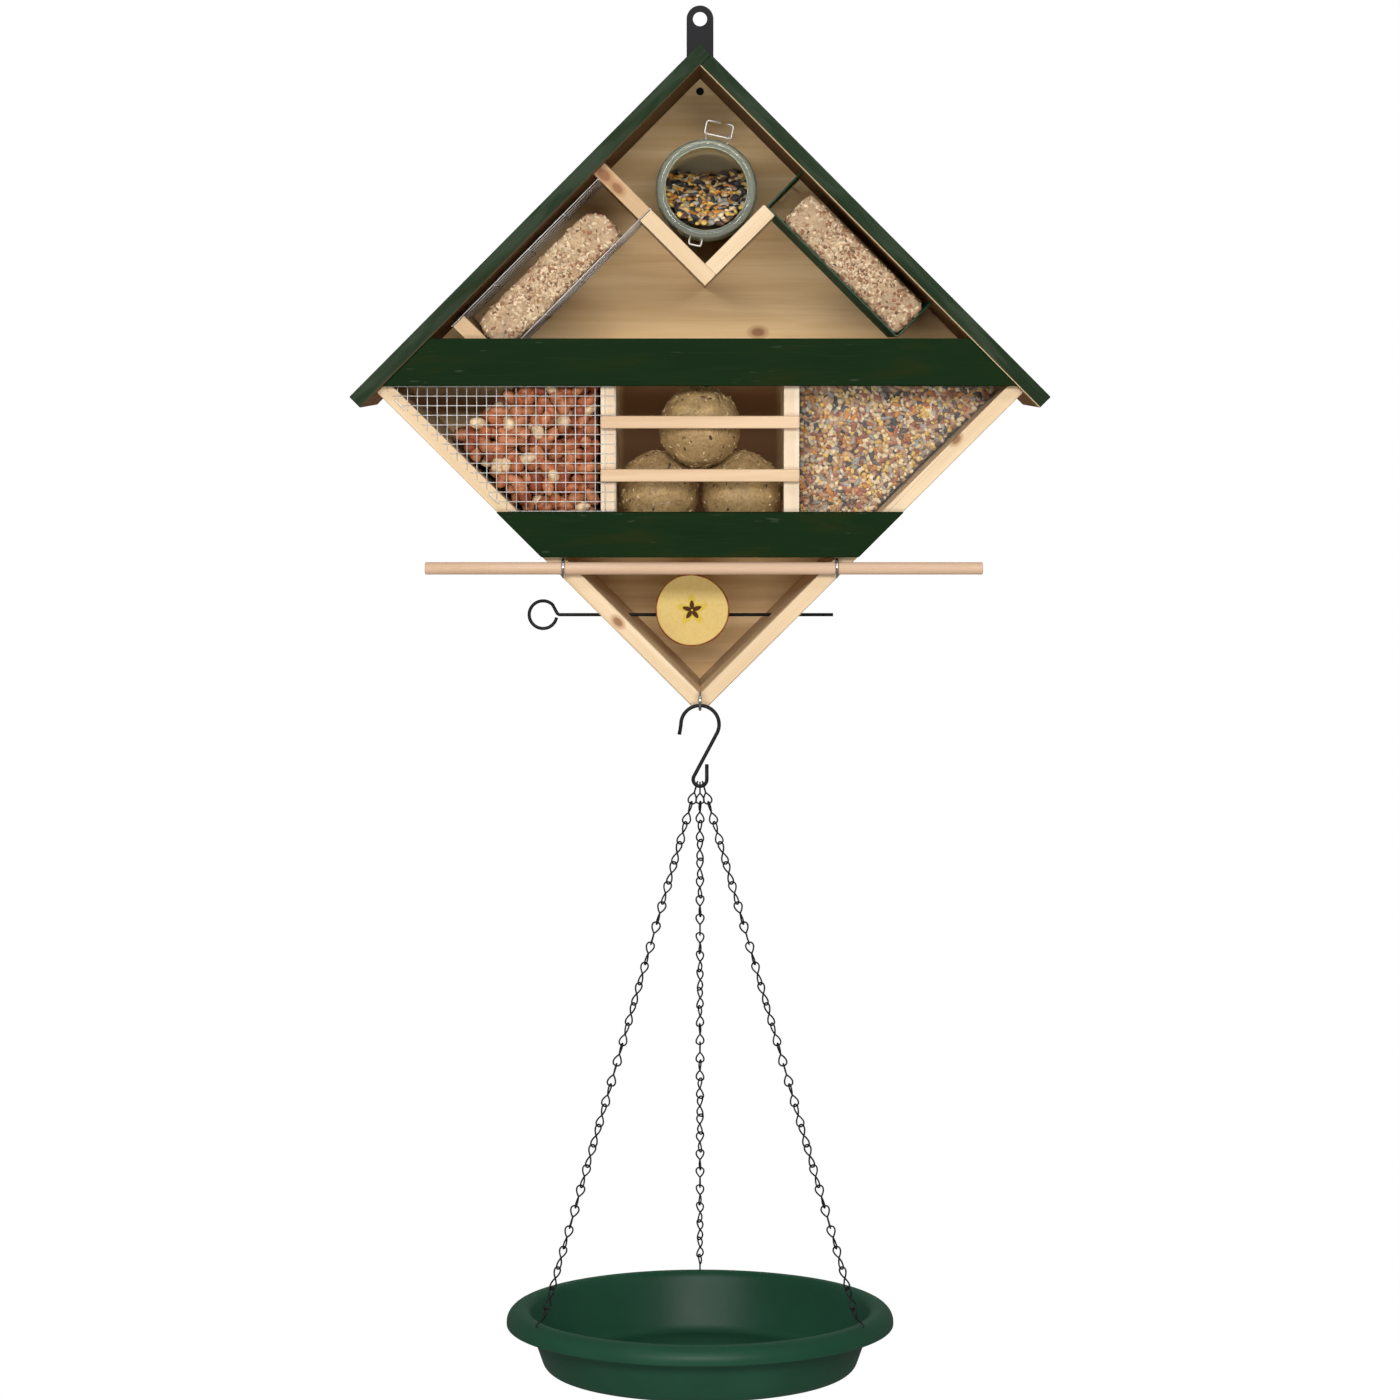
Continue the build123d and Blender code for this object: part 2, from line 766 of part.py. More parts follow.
hinge_loop_end = jar_radius + hinge_loop_reach
hinge_half = hinge_loop_width / 2
hinge_start = math.sqrt(collar_radius**2 - hinge_half**2)
hinge_loop = bent_wire(
    [
        on_jar(-hinge_half, -hinge_start),
        on_jar(-hinge_half, -hinge_loop_end),
        on_jar(hinge_half, -hinge_loop_end),
        on_jar(hinge_half, -hinge_start),
    ],
    jar_wire,
    wire_sides,
)
with BuildPart() as jar_collar:
    with BuildSketch(collar_plane):
        RegularPolygon(collar_outer, collar_sides)
        RegularPolygon(collar_inner, collar_sides, mode=Mode.SUBTRACT)
        for side in (-1, 1):
            with Locations((side * eye_offset, collar_radius)):
                Rectangle(eye_length, clasp_pivot - collar_radius, align=(Align.CENTER, Align.MIN))
            with Locations((side * eye_offset, clasp_pivot)):
                Rectangle(eye_length, 2 * eye_radius)
    extrude(amount=jar_wire / 2, both=True)
    for side in (-1, 1):
        eye_start = collar_plane.from_local_coords((side * eye_offset, clasp_pivot, 0))
        with BuildSketch(Plane(origin=eye_start, x_dir=(0, -1, 0), z_dir=collar_plane.x_dir)):
            RegularPolygon(eye_radius, wire_sides)
        extrude(amount=eye_length / 2, both=True)
        with BuildSketch(Plane(origin=eye_start, x_dir=(0, -1, 0), z_dir=collar_plane.x_dir)):
            RegularPolygon(jar_wire / 2 + hole_play, wire_sides, major_radius=False)
        extrude(amount=eye_length, both=True, mode=Mode.SUBTRACT)
    add(hinge_loop)
jar_collar.part.label = "jar_collar"
export_step(jar_collar.part, "parts/jar_collar.step")

# Clasp: an open wire loop whose foot turns in the collar's eyes
clasp_half = clasp_width / 2
clasp_head = clasp_pivot + clasp_height
clasp_foot = bent_wire(
    [on_jar(-clasp_half, clasp_pivot), on_jar(clasp_half, clasp_pivot)], jar_wire, wire_sides
)
clasp_legs = [
    bent_wire(
        [
            on_jar(side * clasp_half, clasp_pivot - jar_wire / 2),
            on_jar(side * clasp_half, clasp_head),
            on_jar(side * clasp_opening / 2, clasp_head),
        ],
        jar_wire,
        wire_sides,
    )
    for side in (-1, 1)
]
with BuildPart() as jar_clasp:
    add(clasp_foot)
    add(clasp_legs)
jar_clasp.part.label = "jar_clasp"
export_step(jar_clasp.part, "parts/jar_clasp.step")


def arc_points(radius, start, turn, flats):
    """Points of an arc about the origin: an angle grows from the first axis to the second."""
    angles = [math.radians(start + turn * number / flats) for number in range(flats + 1)]
    return [(radius * math.cos(angle), radius * math.sin(angle)) for angle in angles]


# Screw eyes: two carry the perch, the one in the point carries the hook. Each is one wire,
# bent from its shank round an open ring.
eye_ring = arc_points(eye_ring_radius, 180 - ring_mouth, -360 + 2 * ring_mouth, ring_flats)
eye_bodies = [
    bent_wire(
        [
            (eye_x, eye_shank - hole_play - board_front, eye_height),
            (eye_x, -board_front - eye_neck, eye_height),
            *[(eye_x, -ring_forward - out, eye_height + up) for out, up in eye_ring],
        ],
        eye_wire,
        wire_sides,
    )
    for eye_x, eye_height in eye_places
]
with BuildPart() as screw_eyes:
    add(eye_bodies)
screw_eyes.part.label = "screw_eyes"
export_step(screw_eyes.part, "parts/screw_eyes.step")

# Perch lying in its two eyes
perch_z = perch_eye_z - perch_sag
with BuildPart() as perch:
    with BuildSketch(Plane.YZ.offset(perch_shift)):
        with Locations((-ring_forward, perch_z)):
            Circle(perch_radius)
    extrude(amount=perch_length / 2, both=True)
    chamfer(perch.edges().filter_by(GeomType.CIRCLE), perch_chamfer)
perch.part.label = "perch"
export_step(perch.part, "parts/perch.step")

# Skewer, bent to a finger ring at its left end
ring_x = -skewer_left - skewer_ring_radius
finger_ring = arc_points(skewer_ring_radius, ring_mouth, 360 - 2 * ring_mouth, ring_flats)
skewer_body = bent_wire(
    [
        (skewer_right, -skewer_forward, skewer_z),
        (-skewer_left, -skewer_forward, skewer_z),
        *[(ring_x + across, -skewer_forward, skewer_z + up) for across, up in finger_ring],
    ],
    skewer_wire,
    wire_sides,
)
with BuildPart() as skewer:
    add(skewer_body)
skewer.part.label = "skewer"
export_step(skewer.part, "parts/skewer.step")

# Half apple, cut face to the front, bored by the skewer
apple_z = skewer_z + apple_lift
apple_middle = Vector(apple_shift, apple_radius - apple_cut_forward - apple_depth / 2, apple_z)
with BuildPart() as apple_half:
    with BuildSketch(front(apple_cut_forward)):
        with Locations((apple_shift, apple_z)):
            RegularPolygon(apple_radius, apple_sides, major_radius=False, rotation=180 / apple_sides)
    extrude(amount=-apple_depth)
    cut_flats(
        apple_middle, Vector(0, 1, 0), Vector(1, 0, 0), apple_radius, apple_sides, apple_slopes
    )
    with BuildSketch(Plane.YZ):
        with Locations((-skewer_forward, skewer_z)):
            Circle(skewer_wire / 2 + food_gap)
    extrude(amount=2 * apple_radius, both=True, mode=Mode.SUBTRACT)
apple_half.part.label = "apple_half"
export_step(apple_half.part, "parts/apple_half.step")

# S-hook: an upper bow in the eye at the point, a slanting leg and a small lower loop
hook_top = eye_z - eye_ring_radius + eye_wire / 2 + ring_play + hook_wire / 2
bow_z = hook_top - hook_bow_radius
loop_z = bow_z - hook_length
leg_angle = math.degrees(math.asin((hook_bow_radius + hook_loop_radius) / hook_length))
bow_turn = 180 + leg_angle
hook_bow = arc_points(hook_bow_radius, 180, -bow_turn, ring_flats)
hook_loop = arc_points(hook_loop_radius, 180 - leg_angle, bow_turn, ring_flats)
hook_body = bent_wire(
    [
        (-hook_bow_radius - hook_tip_flare, -ring_forward, bow_z - hook_tip_length),
        *[(across, -ring_forward, bow_z + up) for across, up in hook_bow],
        *[(across, -ring_forward, loop_z + up) for across, up in hook_loop],
        (hook_loop_radius, -ring_forward, loop_z + hook_loop_tip),
    ],
    hook_wire,
    wire_sides,
)
with BuildPart() as s_hook:
    add(hook_body)
s_hook.part.label = "s_hook"
export_step(s_hook.part, "parts/s_hook.step")

# Water dish with a rolled rim, hung straight under the hook
hook_seat = loop_z - hook_loop_radius
rim_top = hook_seat - dish_drop
dish_foot = rim_top - dish_height
dish_middle = -ring_forward
rim_under = rim_top - dish_wall
rim_foot = rim_top - rim_lip
chain_angles = {"left": 210, "right": 330, "back": 90}
with BuildPart() as water_dish:
    with BuildSketch(Plane(origin=(0, dish_middle, 0), x_dir=(1, 0, 0), z_dir=(0, -1, 0))):
        Polygon(
            (0, dish_foot),
            (dish_base_radius, dish_foot),
            (dish_mouth_radius, rim_under),
            (dish_rim_radius - dish_wall, rim_under),
            (dish_rim_radius - dish_wall, rim_foot),
            (dish_rim_radius, rim_foot),
            (dish_rim_radius, rim_top - rim_slope),
            (rim_crown_radius + crown_flat / 2, rim_top),
            (dish_mouth_radius - dish_wall, rim_top),
            (dish_base_radius - dish_wall, dish_foot + dish_wall),
            (0, dish_foot + dish_wall),
            align=None,
        )
    revolve(axis=Axis((0, dish_middle, 0), (0, 0, 1)))
    with BuildSketch(Plane(origin=(0, dish_middle, rim_top))):
        for angle in chain_angles.values():
            with PolarLocations(rim_crown_radius, 1, start_angle=angle):
                Circle(rim_hole_radius)
    extrude(amount=-2 * dish_wall, mode=Mode.SUBTRACT)
water_dish.part.label = "water_dish"
export_step(water_dish.part, "parts/water_dish.step")

# Chains: each link is two wire loops at right angles, joined at the waist. The top link hangs
# in the hook, and the last loop goes on as a stem through a hole in the dish's rim.
seat_reach = hook_wire / 2 + hook_play + chain_wire / 2
back_end = Vector(0, dish_middle + chain_end_radius, rim_top + chain_end_lift)
back_length = (back_end - Vector(0, dish_middle, hook_seat)).length
link_count = round((back_length + seat_reach) / chain_pitch - 0.5)
link_step = (back_length + seat_reach - (chain_wire + chain_play) / 2) / (link_count + 0.5)
link_half = (link_step + chain_wire + chain_play) / 2
top_shoulder = link_half - seat_reach - hook_wire / 2


def flat_ring(*corners):
    """Flat ring of wire along the corners, which are points of its middle line."""
    middle_line = Polygon(*corners, align=None, mode=Mode.PRIVATE)
    offset(middle_line, amount=chain_wire / 2, kind=Kind.INTERSECTION)
    offset(middle_line, amount=-chain_wire / 2, kind=Kind.INTERSECTION, mode=Mode.SUBTRACT)


def link_loop(upward):
    """Loop of wire that widens from the waist to one end of a link."""
    end = upward * link_half
    flat_ring((0, 0), (link_width / 2, end), (-link_width / 2, end))


def hook_loop_of_link():
    """Loop of a top link: it is at its full width where the hook's wire passes through."""
    side = link_width / 2
    flat_ring(
        (0, 0), (side, top_shoulder), (side, link_half), (-side, link_half), (-side, top_shoulder)
    )


with BuildPart() as end_loop:
    with BuildSketch(Plane.YZ):
        link_loop(1)
    extrude(amount=chain_wire / 2, both=True)

with BuildPart() as top_link:
    with BuildSketch(Plane.YZ):
        hook_loop_of_link()
    extrude(amount=chain_wire / 2, both=True)
    with BuildSketch(Plane.XZ):
        link_loop(-1)
    extrude(amount=chain_wire / 2, both=True)

with BuildPart() as chain_link:
    with BuildSketch(Plane.YZ):
        link_loop(1)
    extrude(amount=chain_wire / 2, both=True)
    with BuildSketch(Plane.XZ):
        link_loop(-1)
    extrude(amount=chain_wire / 2, both=True)

for name, angle in chain_angles.items():
    outward = Vector(math.cos(math.radians(angle)), math.sin(math.radians(angle)), 0)
    seat_x = chain_spread * round(outward.X)
    seat_rise = hook_loop_radius - math.sqrt(hook_loop_radius**2 - seat_x**2)
    seat = Vector(seat_x, dish_middle, hook_seat + seat_rise)
    dish_axis_point = Vector(0, dish_middle, rim_top)
    last_waist = dish_axis_point + outward * chain_end_radius + Vector(0, 0, chain_end_lift)
    run = last_waist - seat
    along = run.normalized()
    first_reach = link_half - seat_reach
    step = (run.length - first_reach) / link_count
    across = (Vector(1, 0, 0) - along * along.X).normalized()
    link_places = []
    for number in range(link_count + 1):
        waist = seat + along * (first_reach + step * number)
        link_across = across.rotate(Axis((0, 0, 0), along), chain_twist * number)
        link_places.append(Plane(origin=waist, x_dir=link_across, z_dir=-along).location)
    hole_top = dish_axis_point + outward * rim_crown_radius
    over_rim = Vector(0, 0, chain_play + chain_wire / 2)
    under_rim = over_rim + Vector(0, 0, dish_wall)
    stem = bent_wire(
        [
            last_waist,
            hole_top + over_rim,
            hole_top - under_rim,
            hole_top - under_rim + outward * rim_hook_foot,
        ],
        chain_wire,
        chain_wire_sides,
    )
    with BuildPart() as chain:
        with Locations(link_places[0]):
            add(top_link.part)
        with Locations(*link_places[1:-1]):
            add(chain_link.part)
        with Locations(link_places[-1]):
            add(end_loop.part)
        add(stem)
    chain.part.label = f"chain_{name}"
    export_step(chain.part, f"parts/chain_{name}.step")
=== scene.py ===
# %% [markdown]
# # A bird feeding station, dressed for a picture
# The construction drawing already holds every board, wire and hinge at its real size. This
# notebook loads it as a fixed frame and gives each piece its finish. Nothing is moved or
# resized here: a new piece is computed where the frame says that the old one sits.

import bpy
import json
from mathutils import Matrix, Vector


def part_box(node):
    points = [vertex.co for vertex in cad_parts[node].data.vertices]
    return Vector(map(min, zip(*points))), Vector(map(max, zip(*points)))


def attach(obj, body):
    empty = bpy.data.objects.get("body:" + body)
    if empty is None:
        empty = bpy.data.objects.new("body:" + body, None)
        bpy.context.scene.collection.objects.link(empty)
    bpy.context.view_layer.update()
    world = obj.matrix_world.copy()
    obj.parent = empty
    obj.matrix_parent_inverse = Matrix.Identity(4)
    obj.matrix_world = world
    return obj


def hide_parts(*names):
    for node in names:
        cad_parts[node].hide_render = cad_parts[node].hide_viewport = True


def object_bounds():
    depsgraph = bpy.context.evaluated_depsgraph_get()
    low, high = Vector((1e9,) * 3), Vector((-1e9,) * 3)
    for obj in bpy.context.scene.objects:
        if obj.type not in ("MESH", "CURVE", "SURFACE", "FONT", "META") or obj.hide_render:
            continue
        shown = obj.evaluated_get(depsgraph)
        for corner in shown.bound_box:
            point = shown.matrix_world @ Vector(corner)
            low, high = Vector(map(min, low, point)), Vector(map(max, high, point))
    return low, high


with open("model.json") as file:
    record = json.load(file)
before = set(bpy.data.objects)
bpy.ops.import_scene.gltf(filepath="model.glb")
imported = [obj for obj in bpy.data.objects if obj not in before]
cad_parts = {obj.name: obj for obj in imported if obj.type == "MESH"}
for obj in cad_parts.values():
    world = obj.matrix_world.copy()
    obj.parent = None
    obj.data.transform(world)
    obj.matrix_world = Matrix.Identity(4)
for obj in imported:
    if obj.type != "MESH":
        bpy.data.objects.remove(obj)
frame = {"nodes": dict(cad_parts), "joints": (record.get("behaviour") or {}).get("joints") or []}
cad_low, cad_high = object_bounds()

# %% [markdown]
# ## Measures
# Shapes are worked out in millimetres, because that is how a joiner thinks, and turned into
# metres when they become a mesh. The roof stands at 45 degrees, so its underside is one
# straight line down from the inner ridge. Most places are read from the frame's boxes, which
# is safer than writing the same number twice.

# %% Measures from the frame
import json
import math

import bmesh
import bpy
import numpy as np
from mathutils import Vector

MM = 0.001
BOARD = 10.0
HOUSE_HEIGHT = 430.0
ROOT_TWO = math.sqrt(2.0)
SLANTED_BOARD = BOARD * ROOT_TWO


def box_mm(node):
    """Lowest corner, highest corner and middle of a node of the frame, in millimetres."""
    low, high = (np.array(corner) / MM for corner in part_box(node))
    return low, high, (low + high) / 2.0


roof_front, ridge_z = box_mm("roof_left")[0][1], box_mm("roof_left")[1][2]
under_ridge = ridge_z - SLANTED_BOARD
tip_inner = ridge_z - HOUSE_HEIGHT + SLANTED_BOARD
board_front = box_mm("side_board_left")[0][1]
panel_front = box_mm("back_panel")[0][1]
floor_top = box_mm("floor_shelf")[1][2]
print("ridge", round(ridge_z, 1), "front of the boards", round(board_front, 1))

# %% [markdown]
# ## Camera, light and floor
# The picture was taken from straight in front, a little above the middle and from far off,
# so a long lens is used: a short one would show more of the inner walls. The main lamp is a
# wide low strip above the camera, so the roof and the front boards shade the inside, and
# narrow pieces throw no hard shadow. A weaker strip from below opens the shadow in the point,
# and lamps above, behind and on both sides light the rest for other views. The surround is
# plain white where the camera or a view through glass meets it, and dim for everything else.
# The floor is a small pale sheet well below the dish.

# %% Camera
CAMERA_PLACE = (0.0, -3.05, -0.220)
CAMERA_PITCH = 4.45
LENS_MM, SENSOR_MM = 116.1, 36.0


def add_object(name, data):
    """Puts a camera, a lamp or a mesh into the scene."""
    made = bpy.data.objects.new(name, data)
    bpy.context.scene.collection.objects.link(made)
    return made


camera_data = bpy.data.cameras.new("photo_camera")
camera_data.lens = LENS_MM
camera_data.sensor_width = SENSOR_MM
camera = add_object("photo_camera", camera_data)
camera.location = CAMERA_PLACE
camera.rotation_euler = (math.radians(90.0 - CAMERA_PITCH), 0.0, 0.0)
bpy.context.scene.camera = camera
bpy.context.scene.view_settings.view_transform = "Standard"
print("camera", CAMERA_PLACE, "lens", LENS_MM)


# %% Node helpers
def feed(tree, socket, value):
    """Sets an input to a number or colour, or links it to the socket that feeds it."""
    if isinstance(value, bpy.types.NodeSocket):
        tree.links.new(value, socket)
    else:
        socket.default_value = value


def add_node(tree, kind, inputs=None, **settings):
    """Adds a shader node. An input is a number, a colour or the socket that feeds it."""
    made = tree.nodes.new("ShaderNode" + kind)
    for name, value in settings.items():
        setattr(made, name, value)
    for name, value in (inputs or {}).items():
        feed(tree, made.inputs[name], value)
    return made


def maths(tree, operation, *values, kind="Math"):
    """Result of a sum on numbers or sockets, or on vectors with the kind VectorMath."""
    return add_node(tree, kind, dict(enumerate(values)), operation=operation).outputs[0]


# %% Surround
AMBIENT, GLOSS = 0.11, 0.16
WARM_WHITE, WHITE = (1.0, 0.99, 0.97, 1.0), (1.0, 1.0, 1.0, 1.0)

world = bpy.data.worlds.new("pale_surround")
bpy.context.scene.world = world
world.use_nodes = True
sky = world.node_tree
sky.nodes.clear()
rays = add_node(sky, "LightPath").outputs
seen = maths(sky, "MAXIMUM", rays["Is Camera Ray"], rays["Is Transmission Ray"])
even, sheen, white = (
    add_node(sky, "Background", {"Color": colour, "Strength": strength}).outputs[0]
    for colour, strength in ((WARM_WHITE, AMBIENT), (WHITE, GLOSS), (WHITE, 1.0))
)
unseen = add_node(sky, "MixShader", {0: rays["Is Glossy Ray"], 1: even, 2: sheen})
both = add_node(sky, "MixShader", {0: seen, 1: unseen.outputs[0], 2: white})
add_node(sky, "OutputWorld", {"Surface": both.outputs[0]})
print("an even surround of", AMBIENT)

# %% Lamps
MIDDLE = Vector((0.0, -0.1, -0.40))


def soft_lamp(name, place, width, height, watts, shines):
    """Area lamp that faces the middle. One that doesn't shine leaves no highlight."""
    data = bpy.data.lights.new(name, "AREA")
    data.shape = "RECTANGLE"
    data.size, data.size_y = width, height
    data.energy = watts
    lamp = add_object(name, data)
    lamp.location = place
    lamp.rotation_euler = (MIDDLE - Vector(place)).to_track_quat("-Z", "Y").to_euler()
    lamp.visible_camera = False
    lamp.visible_glossy = shines


soft_lamp("front_lamp", (-0.1, -2.95, 0.36), 2.2, 0.5, 64.0, shines=True)
soft_lamp("low_lamp", (-0.1, -2.9, -0.95), 1.6, 0.5, 27.0, shines=False)
soft_lamp("top_lamp", (-0.1, -2.0, 1.7), 1.6, 0.5, 15.0, shines=True)
soft_lamp("left_lamp", (-2.4, 0.55, 0.7), 0.8, 0.8, 28.0, shines=False)
soft_lamp("right_lamp", (2.4, 0.55, 0.7), 0.8, 0.8, 28.0, shines=False)
soft_lamp("back_lamp", (0.3, 2.7, 0.6), 0.8, 0.8, 55.0, shines=False)
print("six lamps")

# %% Floor
FLOOR_DROP, FLOOR_HALF, FLOOR_Y = 0.38, 0.75, -0.1
FLOOR_COLOUR = (0.86, 0.86, 0.85, 1.0)


def new_finish(name, roughness, **sockets):
    """New material with its node tree and its shader. Sockets are set by name, _ for a space."""
    material = bpy.data.materials.new(name)
    material.use_nodes = True
    tree = material.node_tree
    surface = tree.nodes["Principled BSDF"]
    surface.inputs["Roughness"].default_value = roughness
    for socket, value in sockets.items():
        surface.inputs[socket.replace("_", " ")].default_value = value
    return material, tree, surface


floor_z = cad_low[2] - FLOOR_DROP
floor_corners = np.array([(-1, -1), (1, -1), (1, 1), (-1, 1)]) * FLOOR_HALF
floor_mesh = bpy.data.meshes.new("floor")
floor_points = [(x, y + FLOOR_Y, floor_z) for x, y in floor_corners]
floor_mesh.from_pydata(floor_points, [], [(0, 1, 2, 3)])
floor_mesh.materials.append(new_finish("pale_floor", 0.9, Base_Color=FLOOR_COLOUR)[0])
floor = add_object("floor", floor_mesh)
floor.visible_glossy = False
print("floor at", round(floor_z, 3))

# %% [markdown]
# ## Surfaces from numbers
# Every new piece is a grid of points: rows along it and columns around it. Such a piece could
# also be modelled by hand, but a formula keeps the drawing's sizes and gives the same mesh in
# every run. One helper lists the quads between neighbouring points, and another carries a ring
# along a path, which is all that wire needs. Small things that repeat, such as seeds, are one
# shape times an array of turns, sizes and places, so no loop ever visits single points. A
# shape is a pair of points and faces, and the foods carry a tint for each point as a third.

# %% Grid helpers
ACROSS, FACING, UPWARD = np.eye(3)


def around(count):
    """Angles of so many even steps round a circle."""
    return np.arange(count) * 2.0 * np.pi / count


def unit(vectors):
    """Vectors of the same directions and length one."""
    return vectors / np.linalg.norm(vectors, axis=-1, keepdims=True)


def xyz(*coordinates):
    """Points from coordinates, each of which is a number or an array."""
    return np.stack(np.broadcast_arrays(*coordinates), -1)


def upright(points, y):
    """Points (x, z) of an upright drawing set at a depth."""
    x, z = np.asarray(points, float).T
    return xyz(x, y, z)


def grid_shape(points, wrap_rows=False):
    """Shape of a grid of points whose columns close on themselves: quads between neighbours."""
    rows, columns = points.shape[:2]
    row = np.arange(rows if wrap_rows else rows - 1)[:, None]
    column = np.arange(columns)[None, :]
    next_row, next_column = (row + 1) % rows, (column + 1) % columns
    corners = (
        row * columns + column,
        row * columns + next_column,
        next_row * columns + next_column,
        next_row * columns + column,
    )
    return points.reshape(-1, 3), xyz(*corners).reshape(-1, 4)


def joined(*shapes):
    """Several shapes as one, with the face numbers moved on."""
    points, faces, *tints = zip(*shapes)
    starts = np.cumsum([0] + [len(rows) for rows in points])
    faces = [quads + start for quads, start in zip(faces, starts)]
    return tuple(np.vstack(rows) for rows in (points, faces, *tints))


# %% Piece helpers
def finish_mesh(mesh):
    """Closes seams and poles by merging equal points, and turns all faces outwards."""
    shape = bmesh.new()
    shape.from_mesh(mesh)
    bmesh.ops.remove_doubles(shape, verts=shape.verts, dist=1e-6)
    bmesh.ops.dissolve_degenerate(shape, edges=shape.edges, dist=1e-7)
    bmesh.ops.recalc_face_normals(shape, faces=shape.faces)
    shape.to_mesh(mesh)
    shape.free()


def settle(mesh, body, material, nodes, smooth=True):
    """Object of a mesh, on a body, a finish and the nodes that it replaces."""
    mesh.polygons.foreach_set("use_smooth", np.full(len(mesh.polygons), smooth))
    mesh.materials.append(material)
    piece = add_object(mesh.name, mesh)
    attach(piece, body)
    if nodes:
        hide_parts(*nodes)
    print(mesh.name, len(mesh.polygons), "faces")
    return piece


def add_piece(name, shape, body, material, nodes=(), smooth=True):
    """Makes a piece from a shape in millimetres, with a colour attribute where it has tints."""
    points, faces, *tints = shape
    mesh = bpy.data.meshes.new(name)
    mesh.from_pydata((points * MM).tolist(), [], faces.tolist())
    for tint in tints:
        colours = np.ones((len(points), 4), np.float32)
        colours[:, :3] = tint
        attribute = mesh.color_attributes.new("tint", "FLOAT_COLOR", "POINT")
        attribute.data.foreach_set("color", colours.ravel())
    finish_mesh(mesh)
    settle(mesh, body, material, nodes, smooth)


# %% [markdown]
# ## Wood
# The house is sawn pine, and its grain runs along each board. A picture of wood could be
# wrapped round the boards, but it would repeat and stretch. Here the pattern is noise that is
# stretched far along one direction: broad for the growth bands and fine for the fibres. A
# Mapping node turns that direction for each board. Knots are dark ovals at a chosen point.


# %% Pattern helpers
def object_place(tree):
    """Place on the object, in metres."""
    return add_node(tree, "TexCoord").outputs["Object"]


def axes(tree):
    """The place on the object as three sockets: x, y and z."""
    return add_node(tree, "SeparateXYZ", {0: object_place(tree)}).outputs


def noise(tree, place, stretch, detail=3.0, distortion=0.0):
    """Noise with so many features per metre, along each axis or along all three."""
    scale = np.broadcast_to(stretch, 3).tolist()
    wide = add_node(tree, "Mapping", {"Vector": place, "Scale": scale})
    made = add_node(tree, "TexNoise", {
        "Vector": wide.outputs[0], "Scale": 1.0, "Detail": detail,
        "Distortion": distortion, "Roughness": 0.55,
    })
    return made.outputs["Fac"]


def ramp(tree, factor, *stops):
    """Colours between (position, (r, g, b)) stops."""
    made = add_node(tree, "ValToRGB", {"Fac": factor})
    band = made.color_ramp
    while len(band.elements) < len(stops):
        band.elements.new(0.5)
    for element, (position, colour) in zip(band.elements, stops):
        element.position = position
        element.color = (*colour, 1.0)
    return made.outputs["Color"]


def blended(tree, factor, first, second, how="MIX"):
    """Two colours mixed by a factor."""
    made = add_node(tree, "Mix", {"Factor": factor}, data_type="RGBA", blend_type=how)
    for index, value in ((6, first), (7, second)):
        linked = isinstance(value, bpy.types.NodeSocket)
        feed(tree, made.inputs[index], value if linked else (*value, 1.0))
    return made.outputs[2]


def level(tree, value, start, end, low=0.0, high=1.0):
    """A value brought from start..end to low..high with soft ends."""
    made = add_node(tree, "MapRange", {
        "Value": value, "From Min": start, "From Max": end, "To Min": low, "To Max": high,
    }, interpolation_type="SMOOTHSTEP")
    return made.outputs["Result"]


def bumped(tree, surface, height, distance, strength=0.6):
    """Relief of a given depth in metres from a height pattern."""
    relief = {"Height": height, "Distance": distance, "Strength": strength}
    feed(tree, surface.inputs["Normal"], add_node(tree, "Bump", relief).outputs[0])


# %% Pine
LEVEL_GRAIN, UPRIGHT_GRAIN, RIGHT_GRAIN, LEFT_GRAIN = 0.0, 90.0, 45.0, 135.0
BAND_SHARE, FIBRE_SHARE = 0.78, 0.22


def board_place(tree, turn):
    """Object place turned about Y so that the grain lies along its own X."""
    angles = (0.0, math.radians(turn), 0.0)
    return add_node(tree, "Mapping", {"Vector": object_place(tree), "Rotation": angles}).outputs[0]


def pine_colour(tree, place, light, dark):
    """Growth bands and fibres of pine between a light and a dark tone."""
    bands = noise(tree, place, (4.0, 95.0, 95.0), 2.0, 0.8)
    fibres = noise(tree, place, (45.0, 1700.0, 1700.0), 2.0)
    tone = maths(tree, "MULTIPLY", bands, BAND_SHARE)
    tone = maths(tree, "MULTIPLY_ADD", fibres, FIBRE_SHARE, tone)
    middle = tuple((a + b) / 2 for a, b in zip(light, dark))
    return ramp(tree, tone, (0.33, dark), (0.5, middle), (0.62, light)), fibres


# %% Knots and painted shade
KNOT_SQUEEZE = (0.62, 0.35, 1.0)
KNOT_RING, KNOT_HEART = (0.36, 0.17, 0.065), (0.23, 0.085, 0.035)
BALL_BAY_SHADE = (0.21, 0.105, 0.042)


def knot_colour(tree, place, turn, colour, knot):
    """Adds a knot: an oval of darker wood with a ring round it, longer along the grain."""
    x, y, z, radius = (value * MM for value in knot)
    cosine, sine = math.cos(math.radians(turn)), math.sin(math.radians(turn))
    centre = (x * cosine + z * sine, y, -x * sine + z * cosine)
    away = maths(tree, "SUBTRACT", place, centre, kind="VectorMath")
    away = maths(tree, "MULTIPLY", away, KNOT_SQUEEZE, kind="VectorMath")
    distance = add_node(tree, "VectorMath", {0: away}, operation="LENGTH").outputs["Value"]
    ring = level(tree, distance, radius * 1.5, radius, 0.0, 0.45)
    heart = level(tree, distance, radius, radius * 0.5, 0.0, 0.75)
    return blended(tree, heart, blended(tree, ring, colour, KNOT_RING), KNOT_HEART)


